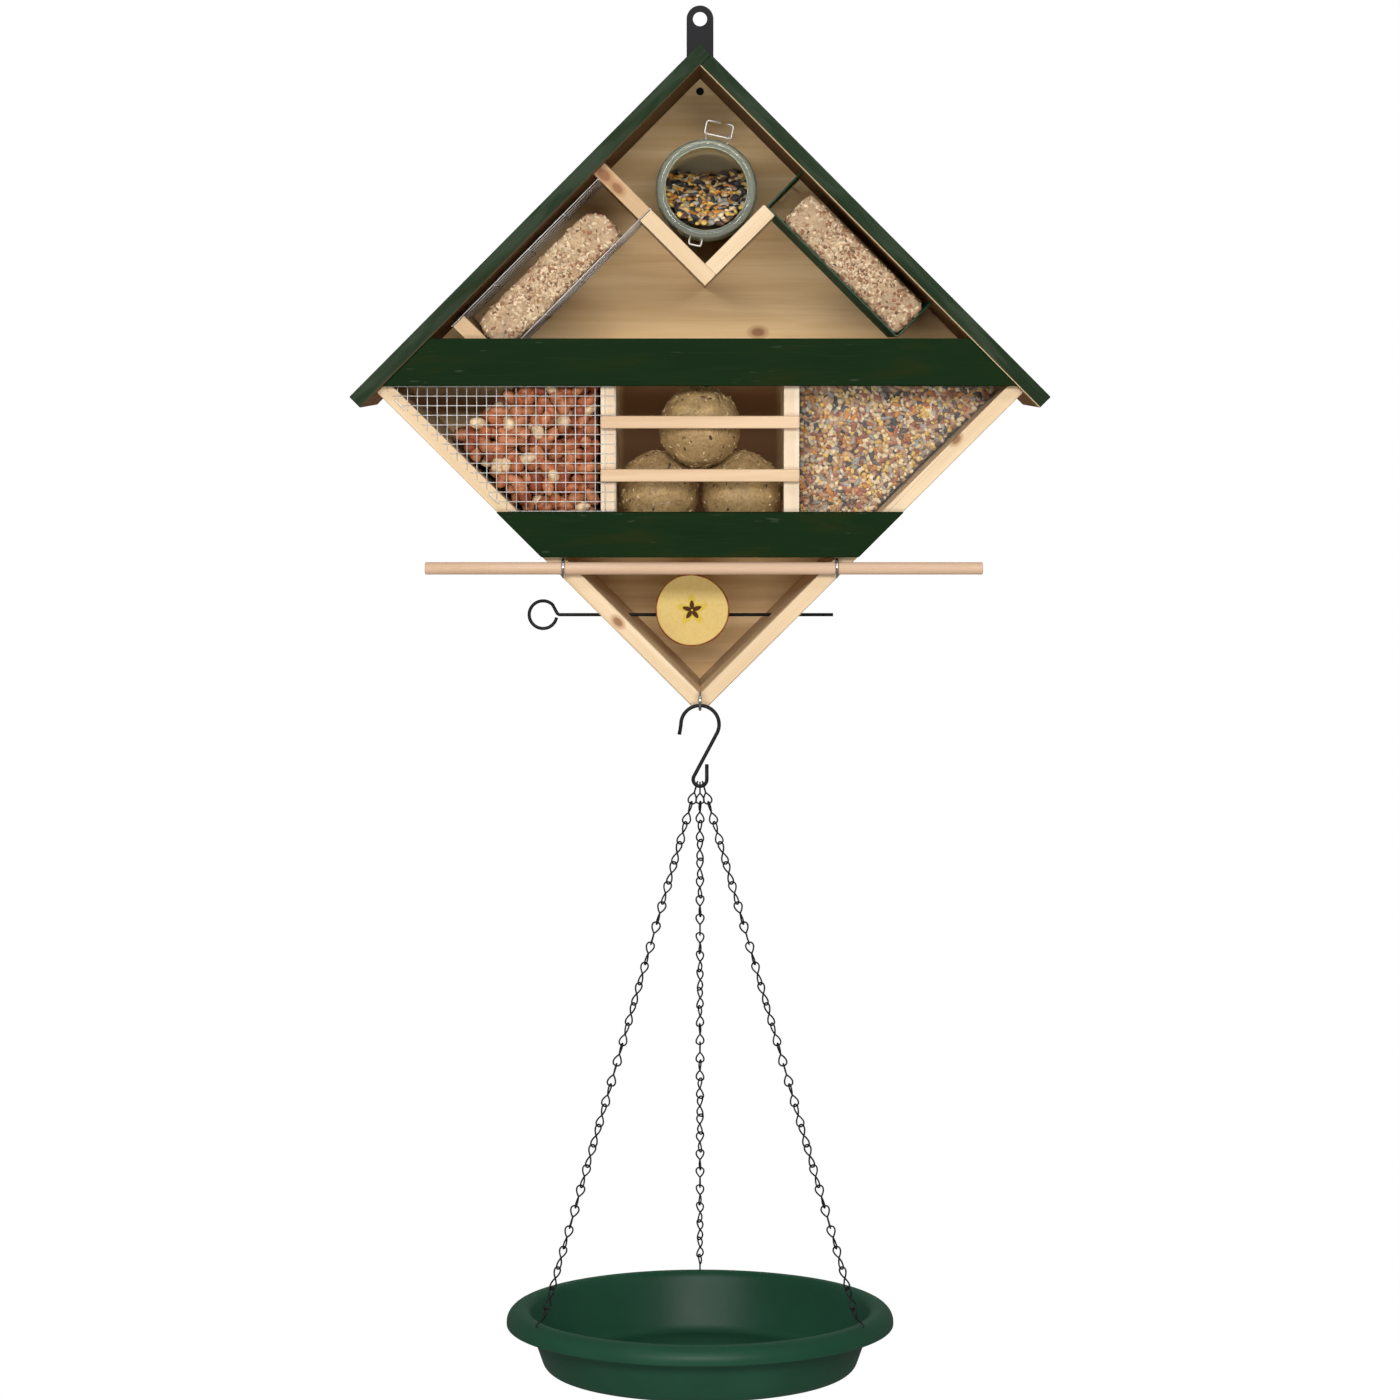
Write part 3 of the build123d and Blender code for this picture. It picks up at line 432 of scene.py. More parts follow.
def painted_bay_shade(tree, colour):
    """Darkens the back panel's front between the dividers, behind the fat balls: painted shade."""
    x, y, z = axes(tree)
    front = panel_front * MM
    shade_mask = level(tree, maths(tree, "ABSOLUTE", x), 0.060, 0.050)
    limits = (
        level(tree, z, -0.232, -0.244),
        level(tree, z, -0.348, -0.340),
        level(tree, y, front + 0.0012, front + 0.0006),
    )
    for share in limits:
        shade_mask = maths(tree, "MULTIPLY", shade_mask, share)
    return blended(tree, shade_mask, colour, BALL_BAY_SHADE)


# %% Tones of pine
HOUSE_TONES = ((0.77, 0.595, 0.39), (0.655, 0.47, 0.28))
STICK_TONES = ((0.72, 0.52, 0.335), (0.60, 0.40, 0.235))
DIVIDER_TONES = ((0.80, 0.66, 0.49), (0.70, 0.54, 0.37))
PANEL_TONES = ((0.84, 0.61, 0.335), (0.68, 0.455, 0.215))
BLOCK_TONES = ((0.66, 0.46, 0.27), (0.52, 0.335, 0.18))
PERCH_TONES = ((0.66, 0.46, 0.32), (0.55, 0.36, 0.23))


def pine(name, turn, tones, knots=(), roughness=0.6, painted_shade=False):
    """Sawn pine whose grain is turned by an angle about Y. A knot is (x, y, z, radius) in mm."""
    material, tree, surface = new_finish(name, roughness, Specular_IOR_Level=0.2)
    place = board_place(tree, turn)
    colour, fibres = pine_colour(tree, place, *tones)
    for knot in knots:
        colour = knot_colour(tree, place, turn, colour, knot)
    if painted_shade:
        colour = painted_bay_shade(tree, colour)
    feed(tree, surface.inputs["Base Color"], colour)
    bumped(tree, surface, fibres, 0.0002)
    return material


pine_left = pine("pine_left", LEFT_GRAIN, HOUSE_TONES, [(-53.0, board_front, -396.0, 3.0)])
pine_right = pine("pine_right", RIGHT_GRAIN, HOUSE_TONES, [(165.0, board_front, -278.5, 2.8)])
pine_level = pine("pine_level", LEVEL_GRAIN, HOUSE_TONES)
pine_pale = pine("pine_pale", LEVEL_GRAIN, STICK_TONES)
pine_upright = pine("pine_upright", UPRIGHT_GRAIN, DIVIDER_TONES)
panel_knots = [(39.0, panel_front, -209.0, 3.6)]
# The back panel is darkened behind the fat balls as painted shade.
panel_pine = pine("panel_pine", LEVEL_GRAIN, PANEL_TONES, panel_knots, painted_shade=True)
block_knots = [(-61.5, board_front, -109.0, 4.2), (-53.0, board_front, -117.5, 3.4)]
pine_block = pine("pine_block", LEFT_GRAIN, BLOCK_TONES, block_knots)
perch_wood = pine("perch_wood", LEVEL_GRAIN, PERCH_TONES, roughness=0.5)
print("eight tones of pine")

# %% [markdown]
# ## Green stain
# Roof and front boards are brushed with a dark green stain that lets some grain through. The
# brush leaves long streaks, and handling leaves fine scratches, so noise along the grain does
# more than one flat green would. On the roof boards a lighter, greyer tone stands for wear and
# also paints the sheen of their edges. The roof boards were stained before they were fixed, on
# the outside only: the underside stays bare wood, darkened as painted shade. Along the lower
# edge it shows as a thin pale line on the right board and as a dark line of painted shade on
# the left. That line is found from |x| + z, which is constant on both undersides of a roof at
# 45 degrees, so no mask has to be painted.

# %% Stain
STAIN_TONES = (
    (0.35, (0.0052, 0.0185, 0.0056)),
    (0.55, (0.0074, 0.021, 0.006)),
    (0.75, (0.017, 0.0235, 0.006)),
)
STAINED_FIBRE, SCRATCH, WORN_AND_SHEEN = (0.022, 0.038, 0.016), (0.16, 0.17, 0.12), (0.040, 0.055, 0.034)
# Bare pine of the undersides, darkened as painted shade. The left board's front line is painted
# shade too; the right one keeps pale bare wood.
BARE_SHADED_TONES = ((0.24, 0.13, 0.055), (0.16, 0.082, 0.032))
SHADED_EDGE, PALE_EDGE = (0.1, 0.06, 0.03), (0.56, 0.40, 0.23)


def sheen_and_shaded_underside(tree, place, colour, edge_tone):
    """Lightens the stain for wear and painted sheen, and leaves it off the underside: bare wood
    darkened as painted shade, with its own tone in front.
    """
    # A lighter, greyer tone for wear that also paints the sheen of the roof edges.
    wear_and_sheen = noise(tree, place, (20.0, 120.0, 120.0), 4.0, 0.5)
    colour = blended(tree, level(tree, wear_and_sheen, 0.35, 0.7, 0.25, 0.9), colour, WORN_AND_SHEEN)
    x, y, z = axes(tree)
    height = maths(tree, "ADD", maths(tree, "ABSOLUTE", x), z)
    line, front = under_ridge * MM, roof_front * MM
    wood, _ = pine_colour(tree, place, *BARE_SHADED_TONES)
    wood = blended(tree, level(tree, y, front + 0.006, front + 0.002), wood, edge_tone)
    return blended(tree, level(tree, height, line + 0.0012, line + 0.0007), colour, wood)


def green_stain(name, turn, edge_tone=None):
    """Dark green stain with streaks along the grain, scratches and an even soft gloss."""
    material, tree, surface = new_finish(name, 0.55, Specular_IOR_Level=0.025)
    place = board_place(tree, turn)
    clouds = noise(tree, place, (14.0, 60.0, 60.0), 3.0, 0.4)
    fibres = noise(tree, place, (30.0, 900.0, 900.0), 2.0)
    scratches = noise(tree, place, (55.0, 700.0, 300.0), 1.0, 0.2)
    colour = ramp(tree, clouds, *STAIN_TONES)
    colour = blended(tree, level(tree, fibres, 0.55, 0.8, 0.0, 0.35), colour, STAINED_FIBRE)
    colour = blended(tree, level(tree, scratches, 0.72, 0.8, 0.0, 0.15), colour, SCRATCH)
    if edge_tone:
        colour = sheen_and_shaded_underside(tree, place, colour, edge_tone)
    feed(tree, surface.inputs["Base Color"], colour)
    feed(tree, surface.inputs["Roughness"], level(tree, clouds, 0.3, 0.8, 0.5, 0.66))
    bumped(tree, surface, fibres, 0.00025)
    return material


stain_level = green_stain("stain_level", LEVEL_GRAIN)
stain_left = green_stain("stain_left", RIGHT_GRAIN, SHADED_EDGE)
stain_right = green_stain("stain_right", LEFT_GRAIN, PALE_EDGE)
print("three directions of stain")

# %% [markdown]
# ## Boards
# A sawn board never has a knife edge: it is sanded over. New boards could be drawn, but the
# drawing's own are right already, so each one is a copy of its CAD shape with its triangles
# merged into whole faces, and a Bevel modifier rounds the long edges. The weights leave out
# short edges, so that bored holes keep their shape and stay crisp.

# %% Boards with eased edges
LONG_EDGE = 0.005
SHARP, NEARLY_FLAT = math.radians(30.0), math.radians(0.5)


def eased_board(node, edge, slot, material):
    """Copy of a CAD piece whose long sharp edges are rounded over by edge millimetres."""
    source = frame["nodes"][node].data
    points = np.empty(len(source.vertices) * 3)
    source.vertices.foreach_get("co", points)
    source.calc_loop_triangles()
    corners = np.empty(len(source.loop_triangles) * 3, np.int32)
    source.loop_triangles.foreach_get("vertices", corners)
    mesh = bpy.data.meshes.new(node + "_eased")
    mesh.from_pydata(points.reshape(-1, 3).tolist(), [], corners.reshape(-1, 3).tolist())
    shape = bmesh.new()
    shape.from_mesh(mesh)
    bmesh.ops.remove_doubles(shape, verts=shape.verts, dist=2e-6)
    bmesh.ops.dissolve_limit(
        shape, angle_limit=NEARLY_FLAT, verts=shape.verts, edges=shape.edges
    )
    weight = shape.edges.layers.float.new("bevel_weight_edge")
    for line in shape.edges:
        corner = line.calc_face_angle(0.0) > SHARP
        line[weight] = float(corner and line.calc_length() > LONG_EDGE)
        line.smooth = not corner
    shape.to_mesh(mesh)
    shape.free()
    bevel = settle(mesh, "house", material, [node]).modifiers.new("eased_edges", "BEVEL")
    bevel.width = edge * MM
    bevel.segments = 3
    bevel.limit_method = "WEIGHT"
    bevel.use_clamp_overlap = False
    bevel.harden_normals = True


def dress(node, material):
    """Gives a CAD piece that stays as it is another finish."""
    finishes = frame["nodes"][node].data.materials
    finishes.clear()
    finishes.append(material)


# %% House
house_boards = (
    ("roof_left", 0.7, "green_stain", stain_left),
    ("roof_right", 0.7, "green_stain", stain_right),
    ("upper_front_board", 0.9, "green_stain", stain_level),
    ("lower_front_board", 0.9, "green_stain", stain_level),
    ("side_board_left", 0.8, "pine", pine_left),
    ("side_board_right", 0.8, "pine", pine_right),
    ("floor_shelf", 0.5, "pine", pine_level),
    ("divider_left", 0.5, "pine", pine_upright),
    ("divider_right", 0.5, "pine", pine_upright),
    ("guard_stick_upper", 0.9, "pine", pine_pale),
    ("guard_stick_lower", 0.9, "pine", pine_pale),
    ("cradle_block_left", 0.5, "pine", pine_block),
    ("cradle_arm_left", 0.5, "pine", pine_left),
    ("cradle_arm_right", 0.5, "pine", pine_right),
    ("suet_end_block", 0.5, "pine", pine_block),
)
for board in house_boards:
    eased_board(*board)
dress("back_panel", panel_pine)
print(len(house_boards), "boards with eased edges, and the back panel")

# %% [markdown]
# ## Metal finishes
# The hanger plate and the hook are black painted steel, the screw eyes bright zinc, the nets
# dull galvanised wire. One number for the gloss would make them look like plastic. Even paint
# and zinc vary a little: a fine noise moves the roughness and the tone, so that highlights
# break up as they do on real metal.


# %% Metals
def metal(name, dull, bright, metallic, rough, smooth, grain=900.0, **sockets):
    """Metal or paint between two tones and two roughnesses, cloudy at a given grain."""
    material, tree, surface = new_finish(name, rough, Metallic=metallic, **sockets)
    cloud = noise(tree, object_place(tree), grain, 3.0)
    feed(tree, surface.inputs["Base Color"], ramp(tree, cloud, (0.35, dull), (0.65, bright)))
    feed(tree, surface.inputs["Roughness"], level(tree, cloud, 0.3, 0.7, smooth, rough))
    bumped(tree, surface, cloud, 0.00006, 0.5)
    return material


black_steel = metal("black_steel", (0.010, 0.0105, 0.012), (0.022, 0.022, 0.024), 0.0, 0.55, 0.45,
                    Specular_IOR_Level=0.1)
black_wire = metal("black_wire", (0.007, 0.007, 0.0075), (0.014, 0.014, 0.015), 0.0, 0.5, 0.38,
                   Specular_IOR_Level=0.2)
galvanised = metal("galvanised", (0.63, 0.62, 0.60), (0.82, 0.81, 0.78), 0.15, 0.55, 0.4, 500.0)
bright_zinc = metal("bright_zinc", (0.60, 0.61, 0.63), (0.78, 0.79, 0.80), 1.0, 0.32, 0.18)
jar_wire_steel = metal("jar_wire_steel", (0.50, 0.46, 0.42), (0.66, 0.61, 0.56), 0.6, 0.5, 0.36)
green_coat = metal("green_coat", (0.008, 0.036, 0.016), (0.016, 0.062, 0.030), 0.0, 0.42, 0.28)
print("six metal finishes")

# %% [markdown]
# ## Wire
# Nets, hooks, eyes and chains are all wire: a small circle carried along a path. A curve with
# a bevel would do this too, but here the arrays join into one mesh for each piece. When the
# path lies in a plane, the plane's normal and the path's direction give the circle its two
# axes, and nothing twists. Bends are arcs that touch both straight runs.


# %% Wire helpers
def tube(path, radius, normal, sides, closed=False):
    """Circle carried along a path: ring = path + radius (cos a · side + sin a · normal)."""
    path = np.asarray(path, float)
    ahead = np.roll(path, -1, 0) - np.roll(path, 1, 0) if closed else np.gradient(path, axis=0)
    side = unit(np.cross(ahead, normal))
    up = unit(np.cross(side, ahead))
    angle = around(sides)[:, None]
    rings = path[:, None] + radius * (np.cos(angle) * side[:, None] + np.sin(angle) * up[:, None])
    if not closed:
        first, last = (np.broadcast_to(end, (1, sides, 3)) for end in (path[0], path[-1]))
        rings = np.concatenate([first, rings, last])
    return grid_shape(rings, wrap_rows=closed)


def rods(starts, ends, radius, sides=8):
    """Straight round wires from starts to ends: a tube each, turned like its neighbours."""
    wires = []
    for start, end in zip(starts, ends):
        steep = abs(unit(end - start)[2]) > 0.9
        wires.append(tube((start, end), radius, ACROSS if steep else UPWARD, sides))
    return joined(*wires)


def rounded_line(corners, radii, steps=7):
    """Straight runs whose corners are turned by arcs: each arc touches both of its runs."""
    corners = np.asarray(corners, float)
    share = np.linspace(0.0, 1.0, steps)[:, None]
    points = [corners[:1]]
    for before, corner, after, radius in zip(corners[:-2], corners[1:-1], corners[2:], radii):
        back, on = unit(before - corner), unit(after - corner)
        half = math.acos(np.clip(back @ on, -1.0, 1.0)) / 2.0
        middle = corner + unit(back + on) * radius / math.sin(half)
        start = corner + back * radius / math.tan(half) - middle
        end = corner + on * radius / math.tan(half) - middle
        turn = math.pi - 2.0 * half
        bend = np.sin((1.0 - share) * turn) * start + np.sin(share * turn) * end
        points.append(middle + bend / math.sin(turn))
    return np.vstack(points + [corners[-1:]])


def arc(centre, radius, start, end, steps):
    """Points of an arc in a plane, between two angles in degrees."""
    angle = np.radians(np.linspace(start, end, steps))
    return np.asarray(centre) + radius * np.stack([np.cos(angle), np.sin(angle)], -1)


def turned(profile, origin, axis, side, sides):
    """Profile of (distance along an axis, radius) pairs turned about that axis."""
    profile = np.asarray(profile, float)
    angle = around(sides)[:, None]
    ring = np.cos(angle) * side + np.sin(angle) * np.cross(axis, side)
    along, out = profile[:, :1, None], profile[:, 1:, None]
    return grid_shape(np.asarray(origin) + along * axis + out * ring)


# %% [markdown]
# ## Hanger plate
# The station hangs on a flat steel strip. The plate keeps its CAD outline with eased edges.
# The rivet that holds it has a low domed head. A flat disc would catch no light, so the head
# is an arc of a circle turned about the rivet's axis.

# %% Hanger plate and rivet
RIVET_DOME, RIVET_SHANK, RIVET_LENGTH = 1.2, 1.75, 8.0

eased_board("hanger_plate", 0.5, "black_steel", black_steel)
rivet_low, rivet_high, rivet_middle = box_mm("hanger_rivet")
rivet_radius = (rivet_high[2] - rivet_low[2]) / 2.0
head_angle = np.linspace(0.0, np.pi / 2.0, 9)
rivet_profile = np.vstack([
    np.stack([RIVET_DOME * np.cos(head_angle), rivet_radius * np.sin(head_angle)], -1),
    [(0.0, RIVET_SHANK), (-RIVET_LENGTH, RIVET_SHANK), (-RIVET_LENGTH, 0.0)],
])
rivet_origin = (rivet_middle[0], rivet_low[1] + RIVET_DOME, rivet_middle[2])
add_piece("rivet_head", turned(rivet_profile, rivet_origin, -FACING, ACROSS, 24), "house",
          black_steel, ["hanger_rivet"])

# %% [markdown]
# ## Nets and basket
# The peanut net is welded wire: uprights laid on level wires, a quarter inch apart, cut
# along the slope of the house and stapled to its edge. The suet lies between two nets on
# the left, and in a basket of green coated wire on the right. A see-through pattern on a flat
# sheet would show no thickness from the side, so every wire is a tube. Under the roof, places
# are given by s, down the roof, and d, square to it.

# %% Peanut net
NET_PITCH, NET_WIRE, NET_LAYER = 6.35, 0.55, 0.15
SHORTEST_COLUMN = 2.0

net_low, net_high, net_middle = box_mm("peanut_net")
slope_offset = -net_low[0] - net_high[2]
level_count = round((net_high[2] - net_low[2]) / NET_PITCH) + 1
level_z = np.linspace(net_high[2], net_low[2], level_count)
level_y = net_middle[1] + NET_LAYER
upright_x = np.arange(net_high[0] - NET_WIRE / 2.0, net_low[0] + SHORTEST_COLUMN, -NET_PITCH)
upright_foot = np.maximum(net_low[2], -upright_x - slope_offset)
upright_y = net_middle[1] - NET_LAYER
net_shape = joined(
    rods(xyz(-(level_z + slope_offset), level_y, level_z), xyz(net_high[0], level_y, level_z),
         NET_WIRE / 2.0),
    rods(xyz(upright_x, upright_y, upright_foot), xyz(upright_x, upright_y, net_high[2]),
         NET_WIRE / 2.0),
)
add_piece("peanut_net_wires", net_shape, "house", galvanised, ["peanut_net"])

# %% Staples
STAPLE_X = (-193.0, -132.8)
STAPLE_CROWN, STAPLE_RADIUS, STAPLE_BEND = 9.0, 0.45, 0.7
STAPLE_LEG, STAPLE_PROUD = 4.0, 0.4

half = STAPLE_CROWN / 2.0 / ROOT_TWO
front, foot = net_low[1] - STAPLE_PROUD, board_front + STAPLE_LEG
staples = []
for x in STAPLE_X:
    z = -x + tip_inner - SLANTED_BOARD / 2.0
    corners = [
        (x + half, foot, z - half), (x + half, front, z - half),
        (x - half, front, z + half), (x - half, foot, z + half),
    ]
    path = rounded_line(corners, (STAPLE_BEND, STAPLE_BEND), 5)
    staples.append(tube(path, STAPLE_RADIUS, ACROSS + UPWARD, 6))
add_piece("net_staples", joined(*staples), "house", galvanised)

# %% Suet nets
SUET_PITCH = 12.7
WIDE_PITCH = 2.5 * SUET_PITCH
SUET_RADIUS, SUET_INSET, SUET_LAYER = 0.325, 0.6, 0.2


def under_roof(side, s, d, y):
    """Points under a roof board: s down the roof from the inner ridge, d square to it."""
    return xyz(side * (s - d) / ROOT_TWO, y, under_ridge - (s + d) / ROOT_TWO)


def flat_net(name, node, depth):
    """Net in a plane d = depth under the left roof board: wires down the roof and across."""
    low, high, _ = box_mm(node)
    first, last = ((-x + under_ridge - z) / ROOT_TWO for x, _, z in (high, low))
    lines = np.arange(low[1] + SUET_INSET, high[1], WIDE_PITCH)
    cross = np.arange(first + SUET_INSET, last, WIDE_PITCH)
    lower, upper = depth - SUET_LAYER, depth + SUET_LAYER
    shape = joined(
        rods(under_roof(-1, first, lower, lines), under_roof(-1, last, lower, lines),
             SUET_RADIUS, 6),
        rods(under_roof(-1, cross, upper, low[1]), under_roof(-1, cross, upper, high[1]),
             SUET_RADIUS, 6),
    )
    add_piece(name, shape, "house", galvanised, [node])


flat_net("suet_lower_wires", "suet_net_lower", 41.5)
flat_net("suet_upper_wires", "suet_net_upper", 4.5)

# %% Green basket
BASKET_START, BASKET_LENGTH, BASKET_HEIGHT = 93.0, 119.0, 33.0
BASKET_RADIUS, BASKET_BEND, BASKET_LAYER = 0.6, 1.6, 0.4

basket_low, basket_high, _ = box_mm("suet_basket")
basket_end = BASKET_START + BASKET_LENGTH
first_s, last_s = BASKET_START + BASKET_RADIUS, basket_end - BASKET_RADIUS
floor_d = BASKET_HEIGHT - BASKET_RADIUS
bow = rounded_line(
    [(first_s, BASKET_LAYER), (first_s, floor_d), (last_s, floor_d), (last_s, BASKET_LAYER)],
    (BASKET_BEND, BASKET_BEND), 6,
)
bow_lines = np.arange(basket_low[1] + BASKET_RADIUS, basket_high[1], SUET_PITCH)
basket_parts = [tube(under_roof(1, *bow.T, y), BASKET_RADIUS, FACING, 8) for y in bow_lines]
wall_d = np.arange(8.0, BASKET_HEIGHT - 4.0, SUET_PITCH)
cross_s, cross_d = np.vstack([
    xyz(np.arange(first_s, basket_end, SUET_PITCH), floor_d),
    xyz(first_s, wall_d),
    xyz(last_s, wall_d),
]).T
basket_parts.append(rods(
    under_roof(1, cross_s, cross_d - BASKET_LAYER, basket_low[1]),
    under_roof(1, cross_s, cross_d - BASKET_LAYER, basket_high[1]), BASKET_RADIUS,
))
add_piece("suet_basket_wires", joined(*basket_parts), "house", green_coat,
          ["suet_basket"])

# %% [markdown]
# ## Food finishes
# Nuts, seeds and crumbs differ from one to the next. A material for each colour would take
# many pieces, so each grain carries its own colour on its points instead, as an attribute
# named tint. One material reads it and adds a fine mottle and a little relief from the same
# noise, so the mottle darkens the hollows as painted shade. The same recipe serves every food,
# with its own gloss.


# %% Food material
def food(name, roughness, grain, relief, shadow=0.6, **sockets):
    """Food coloured by the tint on its points, mottled at a given grain and dark in the relief's
    hollows as painted shade.
    """
    material, tree, surface = new_finish(name, roughness, **sockets)
    tint = add_node(tree, "Attribute", attribute_name="tint").outputs["Color"]
    mottle = noise(tree, object_place(tree), grain, 4.0)
    hollow = (shadow, shadow * 0.95, shadow * 0.9)
    shade = ramp(tree, mottle, (0.3, hollow), (0.55, (1.0, 1.0, 1.0)))
    feed(tree, surface.inputs["Base Color"], blended(tree, 1.0, tint, shade, "MULTIPLY"))
    bumped(tree, surface, mottle, relief)
    return material


nut_skin = food("nut_skin", 0.5, 420.0, 0.0004)
seed_husk = food("seed_husk", 0.55, 700.0, 0.0003, 0.85)
fat_crumb = food("fat_crumb", 0.6, 600.0, 0.0006)
suet_crumb = food("suet_crumb", 0.7, 700.0, 0.0006)
apple_flesh = food("apple_flesh", 0.42, 500.0, 0.00008, 0.94, Specular_IOR_Level=0.12)
print("five food finishes")


# %% Grains
def grain_shape(sides, rows, taper):
    """Small ball, narrower towards one end: radius cos t (1 - taper sin t), height sin t."""
    slope = np.linspace(-np.pi / 2.0, np.pi / 2.0, rows + 1)[:, None]
    radius = np.cos(slope) * (1.0 - taper * np.sin(slope))
    angle = around(sides)
    return grid_shape(xyz(radius * np.cos(angle), radius * np.sin(angle), np.sin(slope)))


def random_turns(count, rng):
    """Random rotation matrices from random unit quaternions."""
    w, x, y, z = unit(rng.normal(size=(count, 4))).T
    rows = (
        (1 - 2 * (y * y + z * z), 2 * (x * y - z * w), 2 * (x * z + y * w)),
        (2 * (x * y + z * w), 1 - 2 * (x * x + z * z), 2 * (y * z - x * w)),
        (2 * (x * z - y * w), 2 * (y * z + x * w), 1 - 2 * (x * x + y * y)),
    )
    return np.array(rows).transpose(2, 0, 1)


def laid_turns(normals, rng, tilt):
    """Rotation matrices that lay a grain on a surface: its thin X axis follows the normal."""
    first = unit(normals + tilt * rng.normal(size=normals.shape))
    second = unit(np.cross(first, rng.normal(size=normals.shape)))
    return np.stack([first, second, np.cross(first, second)], -1)


def scatter(shape, places, turns, sizes, tints):
    """Tinted copies of one shape: each is sized, turned and moved, as one array product."""
    points, faces = shape
    sized = points[None] * sizes[:, None]
    moved = np.einsum("nij,nvj->nvi", turns, sized) + places[:, None]
    numbers = faces[None] + (np.arange(len(places)) * len(points))[:, None, None]
    return moved.reshape(-1, 3), numbers.reshape(-1, 4), np.repeat(tints, len(points), 0)


def picked_tints(count, palette, shares, rng, spread=0.18):
    """One colour of a palette for each grain, a little lighter or darker."""
    chances = np.array(shares) / sum(shares)
    chosen = np.array(palette)[rng.choice(len(palette), size=count, p=chances)]
    return chosen * rng.uniform(1.0 - spread, 1.0 + spread, (count, 1))


def jittered(low, high, pitch, rng, jitter=0.3):
    """Points of a staggered grid over a rectangle, each moved a little at random."""
    columns = np.arange(low[0], high[0], pitch)
    lines = np.arange(low[1], high[1], pitch * 0.87)
    across, up = np.meshgrid(columns, lines)
    across = across + (np.arange(len(lines)) % 2)[:, None] * pitch / 2.0
    spots = np.stack([across.ravel(), up.ravel()], -1)
    return spots + rng.uniform(-jitter, jitter, spots.shape) * pitch


def filled_prism(outline, front, back):
    """Closed block of an upright outline between two depths, with its end faces to a middle."""
    outline = np.asarray(outline, float)
    middle = np.broadcast_to(outline.mean(0), outline.shape)
    rings = [(middle, front), (outline, front), (outline, back), (middle, back)]
    return grid_shape(np.stack([upright(line, y) for line, y in rings]))


# %% [markdown]
# ## Peanuts
# The nuts lie behind the net in a heap that falls off to the outside. A simulation could pour
# them in, but only the nuts next to the net and on top of the heap can be seen. So these are
# laid one by one in staggered rows, three deep, over a core coloured near black as painted
# shade in the gaps. Most keep their red skin, some are split and show cream.

# %% Heap of peanuts
HEAP_X = (-150.0, -134.6, -114.0, -64.0)
HEAP_UP = (68.6, 83.8, 97.6, 108.6)
NUT_RIGHT, NUT_WALL_PLAY, NUT_FRONT, NUT_LAYER = -68.4, 7.5, 6.2, 7.5

rng = np.random.default_rng(11)
nut_low, nut_high, _ = box_mm("peanut_fill")


def heap_top(x):
    """Height of the heap's surface at x, between the points of its slope."""
    return floor_top + np.interp(x, HEAP_X, HEAP_UP)


def wall_x(z):
    """Inner face of the left side board at a height."""
    return -(z - tip_inner)


nut_places = []
for layer, pitch in enumerate((8.3, 9.0, 10.0)):
    spots = jittered((nut_low[0], floor_top + 9.0), (-62.0, nut_high[2]), pitch, rng)
    x, z = spots.T
    inside = (x > wall_x(z) + NUT_WALL_PLAY) & (x < NUT_RIGHT) & (z < heap_top(x) - 3.0)
    depth = board_front + NUT_FRONT + NUT_LAYER * layer + rng.uniform(-0.6, 1.2, inside.sum())
    nut_places.append(upright(spots[inside], depth))
spots = jittered((nut_low[0] + 6.0, board_front + 20.0), (-68.0, panel_front - 7.0), 10.0, rng)
heights = heap_top(spots[:, 0]) - 4.0
inside = (spots[:, 0] > wall_x(heights) + 8.0) & (spots[:, 0] < NUT_RIGHT - 1.1)
nut_places.append(np.column_stack([spots, heights])[inside])
nut_places = np.vstack(nut_places)
print(len(nut_places), "peanuts")

# %% Nuts and their core
NUT_SIZE = np.array([4.2, 4.4, 7.0])
NUT_COLOURS = ((0.40, 0.120, 0.044), (0.49, 0.180, 0.075), (0.26, 0.060, 0.022),
               (0.74, 0.53, 0.31), (0.44, 0.40, 0.07))
NUT_SHARES = (36, 34, 16, 10, 2)
# The core is near black: painted shade in the gaps between the nuts.
NUT_GAP_SHADE = (0.05, 0.016, 0.007)

count = len(nut_places)
nut_sizes = NUT_SIZE * rng.uniform(0.82, 1.12, (count, 1)) * rng.uniform(0.92, 1.08, (count, 3))
nut_tints = picked_tints(count, NUT_COLOURS, NUT_SHARES, rng)
nuts = scatter(grain_shape(8, 6, 0.16), nut_places, random_turns(count, rng), nut_sizes, nut_tints)
add_piece("peanuts", nuts, "house", nut_skin)

core_foot, core_right, core_end = floor_top + 0.5, -66.0, heap_top(HEAP_X[0]) - 16.0
core_outline = [
    (wall_x(floor_top) + 8.0, core_foot),
    (core_right, core_foot),
    (core_right, heap_top(core_right) - 9.0),
    (HEAP_X[2], heap_top(HEAP_X[2]) - 9.0),
    (HEAP_X[1], heap_top(HEAP_X[1]) - 10.0),
    (wall_x(core_end) + 6.0, core_end),
]
nut_core = filled_prism(core_outline, board_front + 22.0, panel_front - 1.0)
add_piece("peanut_core", (*nut_core, NUT_GAP_SHADE), "house", nut_skin, ["peanut_fill"],
          smooth=False)

# %% [markdown]
# ## Seed behind the pane
# The mix holds striped and black sunflower, maize, millet and pale grains. A speckled pattern
# on a flat face would look printed, so there are real grains: long dark seeds and small round
# ones are two shapes, laid against the pane in two layers, on top of the fill and in the tray
# in front of it. The pane itself is a clear sheet that mirrors a little.

